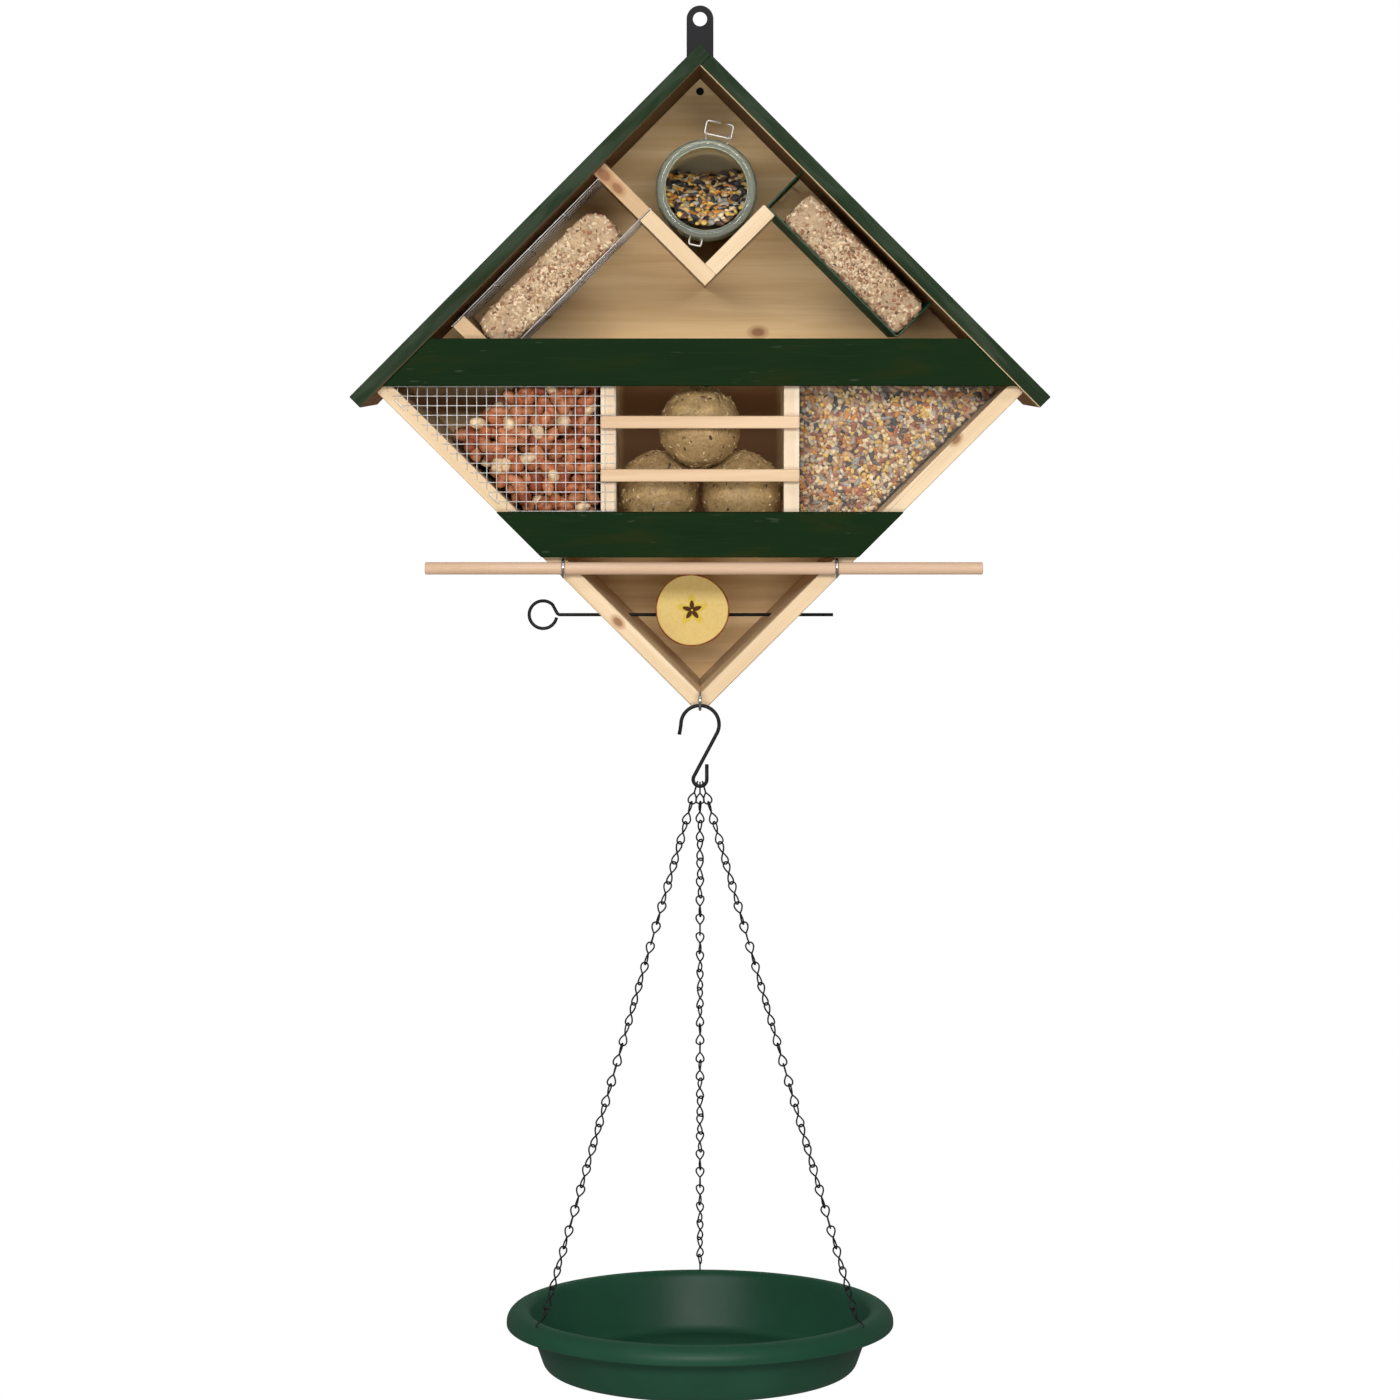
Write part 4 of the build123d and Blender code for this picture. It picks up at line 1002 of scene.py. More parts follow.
# %% Seed mix
MIX_COLOURS = ((0.76, 0.49, 0.12), (0.82, 0.66, 0.42), (0.64, 0.25, 0.035), (0.045, 0.045, 0.05),
               (0.13, 0.075, 0.06), (0.40, 0.37, 0.33), (0.014, 0.013, 0.013),
               (0.50, 0.30, 0.165), (0.36, 0.12, 0.06))
PANE_SHARES = (20, 31, 6, 3, 4, 9, 1, 16, 13)
LONG_SEED, LONG_SIZE = grain_shape(6, 5, 0.25), np.array([1.3, 2.1, 4.3])
ROUND_SEED, ROUND_SIZE = grain_shape(6, 4, 0.0), np.array([1.2, 1.7, 1.9])


def seed_parts(places, normals, shares, rng, size=1.0):
    """Long dark and round pale seeds at places, laid along a surface of given normals."""
    count = len(places)
    tints = picked_tints(count, MIX_COLOURS, shares, rng)
    turns = laid_turns(np.broadcast_to(normals, places.shape), rng, 0.45)
    long_size = LONG_SIZE * rng.uniform(0.85, 1.15, (count, 1)) * size
    round_size = ROUND_SIZE * rng.uniform(0.75, 1.4, (count, 1)) * size
    tone, large = tints.sum(1), long_size[:, 2] > LONG_SIZE[2] * size
    long = (tone < 0.3) | ((tone < 1.15) & large)
    return joined(*(
        scatter(seed, places[chosen], turns[chosen], sizes[chosen], tints[chosen])
        for chosen, seed, sizes in ((long, LONG_SEED, long_size), (~long, ROUND_SEED, round_size))
    ))


# %% Seed behind the pane and in the tray
SEED_LEFT, LEVEL_PITCH, SEED_LIE = 66.0, 4.4, 1.8

window_low, window_high, _ = box_mm("seed_window")
fill_high = box_mm("seed_fill")[1]
tray_top = floor_top + 11.0
pane_places = []
for layer, pitch in enumerate((2.5, 3.2)):
    spots = jittered((65.0, floor_top + 2.0), (fill_high[0], fill_high[2] - 1.5), pitch, rng, 0.4)
    x, z = spots.T
    inside = (x < z - tip_inner - 3.5) & (x > SEED_LEFT)
    depth = window_high[1] + SEED_LIE + 2.2 * layer + rng.uniform(-0.3, 0.8, inside.sum())
    pane_places.append(upright(spots[inside], depth))
pane_seeds = seed_parts(np.vstack(pane_places), -FACING, PANE_SHARES, rng, 0.86)
level_fields = (
    (window_high[1] + 6.0, (fill_high[0] - 3.0, panel_front - 3.0), fill_high[2]),
    (board_front + 2.5, (90.0, window_low[1] - 2.0), tray_top),
)
level_seeds = []
for front, far_corner, top in level_fields:
    spots = jittered((SEED_LEFT, front), far_corner, LEVEL_PITCH, rng, 0.4)
    places = xyz(*spots.T, top - SEED_LIE)
    places = places[places[:, 0] < places[:, 2] - tip_inner - 4.0]
    level_seeds.append(seed_parts(places, UPWARD, PANE_SHARES, rng, 1.25))
add_piece("seed_grains", pane_seeds, "house", seed_husk)
add_piece("seed_top_grains", joined(*level_seeds), "house", seed_husk)

# %% Core of the seed
CORE_LEFT, CORE_PLAY = 66.5, 2.5
# The core is darker than the grains: painted shade in the gaps between them.
SEED_GAP_SHADE = (0.30, 0.19, 0.10)


def seed_core(top, front, back):
    """Block of seed between the divider and the side board, up to a height."""
    foot = floor_top + 0.4
    outline = [
        (CORE_LEFT, foot), (foot - tip_inner - CORE_PLAY, foot),
        (top - tip_inner - CORE_PLAY, top), (CORE_LEFT, top),
    ]
    return filled_prism(outline, front, back)


seed_cores = joined(
    seed_core(fill_high[2] - 3.5, window_high[1] + 5.5, panel_front - 1.0),
    seed_core(tray_top - 3.0, board_front + 0.8, window_low[1] - 0.6),
)
add_piece("seed_core", (*seed_cores, SEED_GAP_SHADE), "house", seed_husk, ["seed_fill"],
          smooth=False)


# %% Clear pane
def clear_sheet(name, tint, index, roughness, clear, base=None):
    """Clear glass or plastic with a trace of dust. A base is (tint, start, end): a darker tint
    along y, for thicker glass and as painted shade.
    """
    material, tree, surface = new_finish(name, roughness, IOR=index, Transmission_Weight=clear)
    dust = noise(tree, object_place(tree), 60.0, 5.0)
    cleaner = tuple(min(1.0, value * 1.03) for value in tint)
    colour = ramp(tree, dust, (0.4, cleaner), (0.75, tint))
    if base:
        deep_shade_tint, start, end = base
        _, depth, _ = axes(tree)
        colour = blended(tree, level(tree, depth, start * MM, end * MM), colour, deep_shade_tint)
    dusty = level(tree, dust, 0.5, 0.8, roughness, roughness + 0.08)
    feed(tree, surface.inputs["Base Color"], colour)
    feed(tree, surface.inputs["Roughness"], dusty)
    return material


pane_plastic = clear_sheet("pane_plastic", (0.70, 0.68, 0.64), 1.49, 0.06, 0.0)
pane_plastic.node_tree.nodes["Principled BSDF"].inputs["Alpha"].default_value = 0.05
dress("seed_window", pane_plastic)
print("a clear pane in front of the seed")

# %% [markdown]
# ## Fat balls and suet
# Fat sets round oats, crumbs and broken seed, so its skin is lumpy all over. A bump map alone
# would leave the outline smooth, so the points themselves move. The lumps are bell-shaped
# hills added to a smooth form: each one sits at a random point, and its height falls off with
# the square of the distance. The skin's tone follows the lumps, darker in the hollows and
# lighter on the tops, as painted shade and light. Flakes and seeds half sunk in the surface
# finish it.


# %% Crumbly surfaces
def lumps(points, count, width, height, rng):
    """Sum of bell-shaped hills of a width and height round random points of a surface."""
    centres = points[rng.integers(len(points), size=count)]
    heights = rng.uniform(-0.5, 1.0, count) * height
    square = (points**2).sum(1)[:, None] + (centres**2).sum(1)[None] - 2.0 * points @ centres.T
    return np.exp(-np.maximum(square, 0.0) / width**2) @ heights


def flakes_on(points, normals, count, size, palette, shares, rng, sink=0.3):
    """Flat tinted grains half sunk in a surface at random points of it."""
    chosen = rng.integers(len(points), size=count)
    sizes = np.array(size) * rng.uniform(0.6, 1.3, (count, 1))
    places = points[chosen] - normals[chosen] * sizes[:, :1] * sink
    turns = laid_turns(normals[chosen], rng, 0.3)
    tints = picked_tints(count, palette, shares, rng)
    return scatter(grain_shape(6, 4, 0.1), places, turns, sizes, tints)


# %% Fat balls
BALL_ROWS, BALL_COLUMNS, BALL_INSET = 60, 96, 0.2
BALL_COLOURS = ((0.40, 0.265, 0.115), (0.52, 0.365, 0.17), (0.27, 0.17, 0.072),
                (0.60, 0.46, 0.25), (0.09, 0.055, 0.033))
BALL_SHARES = (20, 26, 14, 22, 10)
BALL_FLAKE = (0.45, 1.0, 1.7)

slope = np.linspace(-np.pi / 2.0, np.pi / 2.0, BALL_ROWS)[:, None]
angle = around(BALL_COLUMNS)
normals, ball_faces = grid_shape(
    xyz(np.cos(slope) * np.cos(angle), np.cos(slope) * np.sin(angle), np.sin(slope))
)
for number, node in enumerate(("fat_ball_left", "fat_ball_right", "fat_ball_top")):
    rng = np.random.default_rng(40 + number)
    low, high, middle = box_mm(node)
    skin = normals * ((high[1] - low[1]) / 2.0 - BALL_INSET)
    lift = lumps(skin, 260, 3.4, 0.8, rng) + lumps(skin, 700, 1.5, 0.55, rng)
    skin = middle + skin + normals * np.clip(lift, -1.6, 0.8)[:, None]
    # The tone follows the lumps: darker in the hollows and lighter on the tops, as painted shade
    # and light.
    tints = np.array(BALL_COLOURS[0]) * (1.0 + 0.22 * np.clip(lift, -1.5, 1.0))[:, None]
    bits = flakes_on(skin, normals, 420, BALL_FLAKE, BALL_COLOURS, BALL_SHARES, rng)
    add_piece(node + "_crumb", joined((skin, ball_faces, tints), bits), "house",
              fat_crumb, [node])


# %% Suet shape
OUTLINE_POINTS, FACE_ROWS, EDGE_ROWS, WALL_ROWS = 150, 15, 5, 24
SUET_EASE = 3.0


def even_outline(corners, radii, count):
    """Closed outline with rounded corners, as so many evenly spaced points."""
    corners = np.asarray(corners, float)
    start = (corners[0] + corners[-1]) / 2.0
    line = rounded_line(np.vstack([start, corners, start]), radii, 10)
    walked = np.concatenate([[0.0], np.cumsum(np.linalg.norm(np.diff(line, axis=0), axis=1))])
    stops = np.linspace(0.0, walked[-1], count, endpoint=False)
    return np.stack([np.interp(stops, walked, line[:, axis]) for axis in (0, 1)], -1)


def crumb_block(side, s_range, d_range, y_range, radii):
    """Block under a roof board: an outline in (s, d) grown from a middle, with eased ends.

    An end has rows that grow over its face and rows round its edge. Each row has a share of
    the outline, an inset from it and a depth behind the end.
    """
    (s0, s1), (d0, d1), (front, back) = s_range, d_range, y_range
    outline = even_outline([(s0, d0), (s1, d0), (s1, d1), (s0, d1)], radii, OUTLINE_POINTS)
    middle = np.array([(s0 + s1) / 2.0, (d0 + d1) / 2.0])
    half = np.array([(s1 - s0) / 2.0, (d1 - d0) / 2.0])
    bend = np.linspace(0.0, np.pi / 2.0, EDGE_ROWS)
    face = np.linspace(0.0, 1.0, FACE_ROWS, endpoint=False)
    shares = np.concatenate([face, np.ones(EDGE_ROWS)])
    insets = SUET_EASE * np.concatenate([np.ones(FACE_ROWS), 1.0 - np.sin(bend)])
    depths = SUET_EASE * np.concatenate([np.zeros(FACE_ROWS), 1.0 - np.cos(bend)])
    wall = np.linspace(0.0, 1.0, WALL_ROWS + 2)[1:-1]
    wall_y = front + SUET_EASE + wall * (back - front - 2.0 * SUET_EASE)
    shares = np.concatenate([shares, np.ones(WALL_ROWS), shares[::-1]])
    insets = np.concatenate([insets, np.zeros(WALL_ROWS), insets[::-1]])
    along = np.concatenate([front + depths, wall_y, back - depths[::-1]])
    shrink = 1.0 - insets[:, None] / half
    rings = middle + shares[:, None, None] * shrink[:, None] * (outline - middle)
    return grid_shape(under_roof(side, rings[..., 0], rings[..., 1], along[:, None]))


def outward(shape):
    """Outward directions of a closed shape at its points, from a throw-away mesh."""
    points, faces = shape
    mesh = bpy.data.meshes.new("probe")
    mesh.from_pydata(points.tolist(), [], faces.tolist())
    directions = np.empty(len(mesh.vertices) * 3, np.float32)
    mesh.vertex_normals.foreach_get("vector", directions)
    bpy.data.meshes.remove(mesh)
    directions = directions.reshape(-1, 3).astype(float)
    facing = ((points - points.mean(0)) * directions).sum(1)
    return directions if np.median(facing) > 0.0 else -directions


# %% Suet blocks
SUET_COLOURS = ((0.58, 0.41, 0.25), (0.74, 0.57, 0.38), (0.46, 0.29, 0.165),
                (0.34, 0.16, 0.08), (0.20, 0.12, 0.07))
SUET_PIT = np.array((0.46, 0.315, 0.185))
SUET_FLAKE = (0.6, 1.2, 1.9)
CRUMB_ROOM = np.array((0.8, -0.8))

suet_blocks = (
    ("suet_cake_left", -1, (110.2, 219.2), (12.9, 40.7), (13.0, 9.0, 3.0, 5.0),
     (16, 34, 24, 8, 6), 1.0),
    ("suet_cake_right", 1, (106.5, 210.5), (5.5, 31.5), (5.0, 4.0, 4.0, 5.0),
     (22, 34, 18, 20, 5), 0.95),
)
for number, (node, side, s_range, d_range, radii, shares, tone) in enumerate(suet_blocks):
    rng = np.random.default_rng(60 + number)
    y_range = [corner[1] for corner in box_mm(node)[:2]]
    block = crumb_block(side, s_range + CRUMB_ROOM, d_range + CRUMB_ROOM, y_range + CRUMB_ROOM,
                        radii)
    normals = outward(block)
    lift = lumps(block[0], 900, 3.0, 0.6, rng) + lumps(block[0], 1500, 1.3, 0.5, rng)
    lift = np.clip(lift, -1.2, 0.75)[:, None]
    skin = block[0] + normals * lift
    *bits, bit_tints = flakes_on(skin, normals, 3300, SUET_FLAKE, SUET_COLOURS, shares, rng, 0.35)
    # As on the balls, the skin's tone follows the lumps: painted shade in the hollows and painted
    # light on the tops.
    cake = joined(
        (skin, block[1], tone * SUET_PIT * (1.0 + 0.35 * lift)), (*bits, tone * bit_tints)
    )
    add_piece(node + "_crumb", cake, "house", suet_crumb, [node])

# %% [markdown]
# ## Jar
# The jar is a preserving jar of pale green pressed glass, lying with its mouth to the front. A
# single skin with a see-through colour would look like a bubble. So its wall is one closed
# profile, outside and back inside, turned about the jar's axis. Light bends at both faces, and
# the thick rim gets its grey green look from what stands around it. Towards its bottom the
# glass turns a darker, browner tint, partly for the thicker glass and partly as painted shade.

# %% Jar glass
JAR_RADIUS, JAR_LENGTH, JAR_BOTTOM = 33.0, 100.0, 4.5
JAR_INSIDE = JAR_RADIUS - 3.0
RIM_RADIUS, NECK_RADIUS, MOUTH_RADIUS = 31.7, 29.3, 26.2
# The base tint darkens the jar's bottom: partly thicker glass, partly painted shade.
GLASS_TINT, BASE_SHADE_TINT = (0.84, 0.90, 0.77), (0.60, 0.56, 0.40)

jar_x, _, jar_z = box_mm("jar_glass")[2]
jar_back = box_mm("jar_glass")[1][1]
jar_outline = rounded_line(
    [
        (0.0, 0.0), (0.0, JAR_RADIUS), (76.0, JAR_RADIUS), (84.0, NECK_RADIUS),
        (89.0, NECK_RADIUS), (90.5, RIM_RADIUS), (JAR_LENGTH, RIM_RADIUS),
        (JAR_LENGTH, MOUTH_RADIUS), (86.0, MOUTH_RADIUS), (77.0, JAR_INSIDE),
        (JAR_BOTTOM, JAR_INSIDE), (JAR_BOTTOM, 0.0),
    ],
    (6.0, 5.0, 2.5, 0.4, 1.0, 2.6, 2.4, 6.0, 6.0, 5.0),
)
jar_glass = clear_sheet("green_glass", GLASS_TINT, 1.3, 0.03, 0.84,
                        (BASE_SHADE_TINT, jar_back - 22.0, jar_back - 4.0))
jar_wall = turned(jar_outline, (jar_x, jar_back, jar_z), -FACING, ACROSS, 96)
add_piece("jar_glass_wall", jar_wall, "jar", jar_glass, ["jar_glass"])

# %% Seed in the jar
SEED_BACK, SEED_FRONT = 12.5, -22.0
SEED_START, SEED_RUN = 5.0, 92.0
JAR_SHARES = (28, 16, 15, 13, 8, 8, 8, 4, 0)


def seed_height(along):
    """Height of the seed over the jar's axis: a straight slope from the bottom to the mouth."""
    return SEED_BACK + (SEED_FRONT - SEED_BACK) * (along - SEED_START) / SEED_RUN


rng = np.random.default_rng(23)
across, along = jittered((-28.0, 6.0), (28.0, 96.0), 3.3, rng, 0.45).T
height = seed_height(along) + rng.uniform(-1.5, 0.6, len(along)) + 3.0 * (across / 24.0) ** 2
inside = np.hypot(across, height) < np.where(along > 76.0, MOUTH_RADIUS, JAR_INSIDE) - 2.6
slope_places = xyz(jar_x + across, jar_back - along, jar_z + height)[inside]
slope_normal = unit(np.array([0.0, (SEED_FRONT - SEED_BACK) / SEED_RUN, 1.0]))
slope_seeds = seed_parts(slope_places, slope_normal, JAR_SHARES, rng, 1.05)

wall_grid = np.meshgrid(np.linspace(175.0, 365.0, 46), np.arange(8.0, 74.0, 3.4), indexing="ij")
wall_angle, wall_along = (values.ravel() for values in wall_grid)
wall_angle = np.radians(wall_angle) + rng.uniform(-0.03, 0.03, len(wall_angle))
wall_out = xyz(np.cos(wall_angle), 0.0, np.sin(wall_angle))
wall_places = np.array([jar_x, jar_back, jar_z]) + wall_out * (JAR_INSIDE - 2.1)
wall_places[:, 1] -= wall_along + rng.uniform(-1.0, 1.0, len(wall_along))
covered = wall_places[:, 2] - jar_z < seed_height(wall_along)
wall_seeds = seed_parts(wall_places[covered], wall_out[covered], JAR_SHARES, rng)
add_piece("jar_seeds", joined(slope_seeds, wall_seeds), "jar", seed_husk)

# %% Core of the jar's seed
# The core is near black: painted shade in the gaps between the seeds.
JAR_GAP_SHADE = (0.045, 0.034, 0.026)

along = np.linspace(5.6, 95.0, 40)[:, None]
reach = np.interp(along, (5.0, 74.0, 84.0, 95.0), (26.0, 26.0, 22.0, 22.0))
top = np.maximum(seed_height(along) - 2.6, 0.3 - reach)
angle = around(48)
rings = xyz(
    jar_x + reach * np.cos(angle),
    jar_back - along,
    jar_z + np.minimum(reach * np.sin(angle), top),
)
ends = np.broadcast_to(rings[[0, -1]].mean(1, keepdims=True), (2, 48, 3))
jar_core = grid_shape(np.concatenate([ends[:1], rings, ends[1:]]))
add_piece("jar_seed_core", (*jar_core, JAR_GAP_SHADE), "jar", seed_husk, ["jar_seed_fill"])

# %% [markdown]
# ## Jar wire
# A wire collar holds the neck. At the top it is bent into two small eyes, and the clasp, an
# open loop of the same wire, turns in them. Below, a square bow once carried the lid. Drawing
# these in the room's directions would take a turn for every point, because the jar has rolled
# a little. So places are given to the right of the jar's own upright and up from its axis.

# %% Jar collar
COLLAR_Y, JAR_WIRE = -119.5, 1.4
JAR_ROLL = math.radians(12.0)
CLASP_HALF, CLASP_HEIGHT = 8.75, 8.6
CLASP_GAP = (0.3, 3.8)
HINGE_HALF, HINGE_FOOT = 4.0, JAR_RADIUS + 3.5
EYE_TURN, STEM_RADIUS, TURN_RADIUS = 1.5, 0.65, 0.6

collar_radius = NECK_RADIUS + 0.3 + JAR_WIRE / 2.0
clasp_pivot = RIM_RADIUS + 3.4
eye_offset = CLASP_HALF - JAR_WIRE - 0.3
jar_right = np.array([math.cos(JAR_ROLL), 0.0, -math.sin(JAR_ROLL)])
jar_up = np.array([math.sin(JAR_ROLL), 0.0, math.cos(JAR_ROLL)])


def on_jar(points):
    """Points given to the right and up of the jar's axis, in its rolled position."""
    points = np.asarray(points, float)
    return np.array([jar_x, COLLAR_Y, jar_z]) + points[:, :1] * jar_right + points[:, 1:] * jar_up


collar_ring = arc((0.0, 0.0), collar_radius, 0.0, 360.0, 97)[:-1]
hinge_top = 0.5 - collar_radius
hinge_bow = rounded_line(
    [(-HINGE_HALF, hinge_top), (-HINGE_HALF, -HINGE_FOOT), (HINGE_HALF, -HINGE_FOOT),
     (HINGE_HALF, hinge_top)],
    (1.4, 1.4),
)
collar_parts = [
    tube(on_jar(collar_ring), JAR_WIRE / 2.0, FACING, 10, closed=True),
    tube(on_jar(hinge_bow), JAR_WIRE / 2.0, FACING, 10),
]
turn = arc((0.0, 0.0), EYE_TURN, 0.0, 360.0, 21)[:-1]
for x in (-eye_offset, eye_offset):
    stem = on_jar([(x, collar_radius - 1.2), (x, clasp_pivot - 1.3)])
    eye = on_jar([(x, clasp_pivot)]) + turn[:, :1] * FACING + turn[:, 1:] * jar_up
    collar_parts.append(tube(stem, STEM_RADIUS, FACING, 8))
    collar_parts.append(tube(eye, TURN_RADIUS, jar_right, 8, closed=True))
add_piece("jar_collar_wire", joined(*collar_parts), "jar", jar_wire_steel,
          ["jar_collar"])

# %% Jar clasp
clasp_head = clasp_pivot + CLASP_HEIGHT
clasp_line = rounded_line(
    [
        (CLASP_GAP[0], clasp_head), (-CLASP_HALF, clasp_head), (-CLASP_HALF, clasp_pivot),
        (CLASP_HALF, clasp_pivot), (CLASP_HALF, clasp_head), (CLASP_GAP[1], clasp_head),
    ],
    (1.8, 1.2, 1.2, 1.8),
)
clasp_wire = tube(on_jar(clasp_line), JAR_WIRE / 2.0, FACING, 10)
add_piece("jar_clasp_wire", clasp_wire, "clasp", jar_wire_steel, ["jar_clasp"])

# %% [markdown]
# ## Eyes, perch and skewer
# Each screw eye is one wire: a straight shank, a short bend and an open ring that stands
# upright along the shank. A torus on a cylinder would show no bend where they meet, so shank
# and ring are one line. The perch is a dowel with broken edges that lies in two of the eyes.
# The skewer's ring is bent the same way.

# %% Screw eyes
EYE_RING, EYE_WIRE = 5.5, 2.0
RING_Y = -146.5
PERCH_DROP = 0.2


def ringed(corners, bend, centre, radius, start, end):
    """A straight wire with one bend that goes on into an open ring."""
    return np.vstack([rounded_line(corners, (bend,))[:-1], arc(centre, radius, start, end, 48)])


eye_low, eye_high, _ = box_mm("screw_eyes")
perch_low, perch_high, perch_middle = box_mm("perch")
perch_eye_z = perch_middle[2] + PERCH_DROP
eye_places = (
    (eye_low[0] + EYE_WIRE / 2.0, perch_eye_z),
    (eye_high[0] - EYE_WIRE / 2.0, perch_eye_z),
    (0.0, eye_low[2] + EYE_RING + EYE_WIRE / 2.0),
)
shank = [(eye_high[1] - RING_Y, 0.0), (6.0, 0.0), (4.2, 3.6)]
eye_y, eye_z = ringed(shank, 1.6, (0.0, 0.0), EYE_RING, 42.0, 330.0).T
screw_eyes = joined(*(
    tube(xyz(x, RING_Y + eye_y, z + eye_z), EYE_WIRE / 2.0, ACROSS, 12) for x, z in eye_places
))
add_piece("screw_eye_wires", screw_eyes, "house", bright_zinc, ["screw_eyes"])

# %% Perch
PERCH_RADIUS, PERCH_EDGE = 4.0, 0.8

perch_line = rounded_line(
    [(perch_low[0], 0.0), (perch_low[0], PERCH_RADIUS), (perch_high[0], PERCH_RADIUS),
     (perch_high[0], 0.0)],
    (PERCH_EDGE, PERCH_EDGE),
)
perch_shape = turned(perch_line, (0.0, RING_Y, perch_eye_z - PERCH_DROP), ACROSS, FACING, 32)
add_piece("perch_dowel", perch_shape, "perch", perch_wood, ["perch"])

# %% Skewer
SKEWER_WIRE, SKEWER_RING = 2.2, 9.15

skewer_low, skewer_high, (_, skewer_y, skewer_z) = box_mm("skewer")
ring_x = skewer_low[0] + SKEWER_WIRE / 2.0 + SKEWER_RING
neck = [(skewer_high[0], 0.0), (ring_x + SKEWER_RING + 0.6, 0.0), (ring_x + 6.4, 7.2)]
skewer_line = ringed(neck, 2.4, (ring_x, 0.0), SKEWER_RING, 46.0, 348.0)
skewer_path = upright(skewer_line, skewer_y) + skewer_z * UPWARD
add_piece("skewer_wire", tube(skewer_path, SKEWER_WIRE / 2.0, FACING, 12), "skewer",
          black_wire, ["skewer"])

# %% [markdown]
# ## Apple
# Half an apple, cut across, shows the star of its five seed pockets. Its face could be drawn as
# a pattern, but the pockets are hollow. So the face is a grid of rings round the middle, and
# both its colour and its hollows come from the distance to five petals. The back is a rounded
# profile with the dimple of the stalk.

# %% Apple star
PETAL_TURNS = np.radians((92.0, 20.0, -52.0, -124.0, 164.0))
PETAL_START, PETAL_END, PETAL_WIDTH, PETAL_EDGE = 0.6, 6.5, 1.5, 0.25


def petals(r, a):
    """One inside a pocket and zero outside, at polar places about the star's middle."""
    away = a[..., None] - PETAL_TURNS
    u = r[..., None] * np.cos(away)
    v = r[..., None] * np.sin(away)
    share = np.clip((u - PETAL_START) / (PETAL_END - PETAL_START), 0.0, 1.0)
    width = PETAL_WIDTH * np.sqrt(np.sin(np.pi * share**0.8))
    return np.clip((width - np.abs(v)) / PETAL_EDGE, 0.0, 1.0).max(-1)


# %% Apple shape
APPLE_SIDES, APPLE_EDGE, POCKET_DEPTH = 200, 0.9, 1.6

apple_low, apple_high, apple_middle = box_mm("apple_half")
apple_radius = (apple_high[0] - apple_low[0]) / 2.0 - 0.4
apple_depth = apple_high[1] - apple_low[1]
face_radius = apple_radius - APPLE_EDGE
angle = around(APPLE_SIDES)
uneven = 0.012 * np.cos(2.0 * angle + 0.6) + 0.010 * np.cos(3.0 * angle) - 0.02

face_r = np.concatenate([np.linspace(0.0, 9.0, 46), np.linspace(9.4, face_radius, 40)])
edge = np.linspace(0.0, np.pi / 2.0, 5)[1:]
back_t = np.linspace(0.0, np.pi / 2.0, 26)[1:]
back_r = apple_radius * np.cos(back_t) ** 0.85
back_out = APPLE_EDGE + (apple_depth - 1.0) * np.sin(back_t) ** 0.95
back_out = back_out - 6.0 * np.exp(-((back_r / 5.0) ** 2))
radii = np.concatenate([face_r, face_radius + APPLE_EDGE * np.sin(edge), back_r])[:, None]
depths = np.concatenate([np.zeros(len(face_r)), APPLE_EDGE * (1.0 - np.cos(edge)), back_out])
turns = np.broadcast_to(angle, (len(radii), APPLE_SIDES))
reach = radii * (1.0 + uneven * np.clip((radii - 7.0) / 15.0, 0.0, 1.0))
on_face = (np.arange(len(radii)) < len(face_r))[:, None]
pocket = petals(np.broadcast_to(radii, turns.shape), turns) * on_face
apple_points = xyz(
    apple_middle[0] + reach * np.cos(turns),
    apple_low[1] + depths[:, None] + POCKET_DEPTH * pocket,
    apple_middle[2] + reach * np.sin(turns),
)
print("apple of", round(2.0 * apple_radius), "mm")

# %% Apple tints
FLESH, HALO, POCKET = (0.68, 0.51, 0.185), (0.63, 0.47, 0.07), (0.075, 0.021, 0.004)
PEEL, PEEL_STREAK = (0.23, 0.045, 0.018), (0.42, 0.24, 0.045)


def mixed(first, second, share):
    """Two tints mixed by a share at each point."""
    share = share[..., None]
    return np.array(first) * (1.0 - share) + np.array(second) * share


star = 7.6 + 2.9 * np.cos(5.0 * (turns - PETAL_TURNS[0]))
flesh_tints = mixed(FLESH, HALO, np.clip((star + 1.2 - radii) / 2.4, 0.0, 1.0))
flesh_tints = mixed(flesh_tints, POCKET, pocket)
streak = 0.5 + 0.5 * np.sin(9.0 * turns + 2.0 * np.sin(4.0 * turns))
peel_tints = mixed(PEEL, PEEL_STREAK, 0.5 * streak)
skin_line = np.where(on_face, np.clip((radii - apple_radius + 1.2) / 0.3, 0.0, 1.0), 1.0)
apple_tints = mixed(flesh_tints, peel_tints, skin_line).reshape(-1, 3)
add_piece("apple_flesh", (*grid_shape(apple_points), apple_tints), "house", apple_flesh,
          ["apple_half"])

# %% [markdown]
# ## Hook and chains
# The S-hook hangs in the eye at the point and carries three chains in its small loop. A chain
# link is one wire bent to two pear-shaped loops that stand at right angles, so each loop lies
# square in the next one. Plain oval links would be simpler, but they don't hang like this. All
# links of a chain are one loop times its directions, and each is turned a little further than
# the one above it.

# %% S-hook
HOOK_WIRE = 2.4
HOOK_BOW, HOOK_LOOP, HOOK_LENGTH = 12.3, 4.4, 35.6

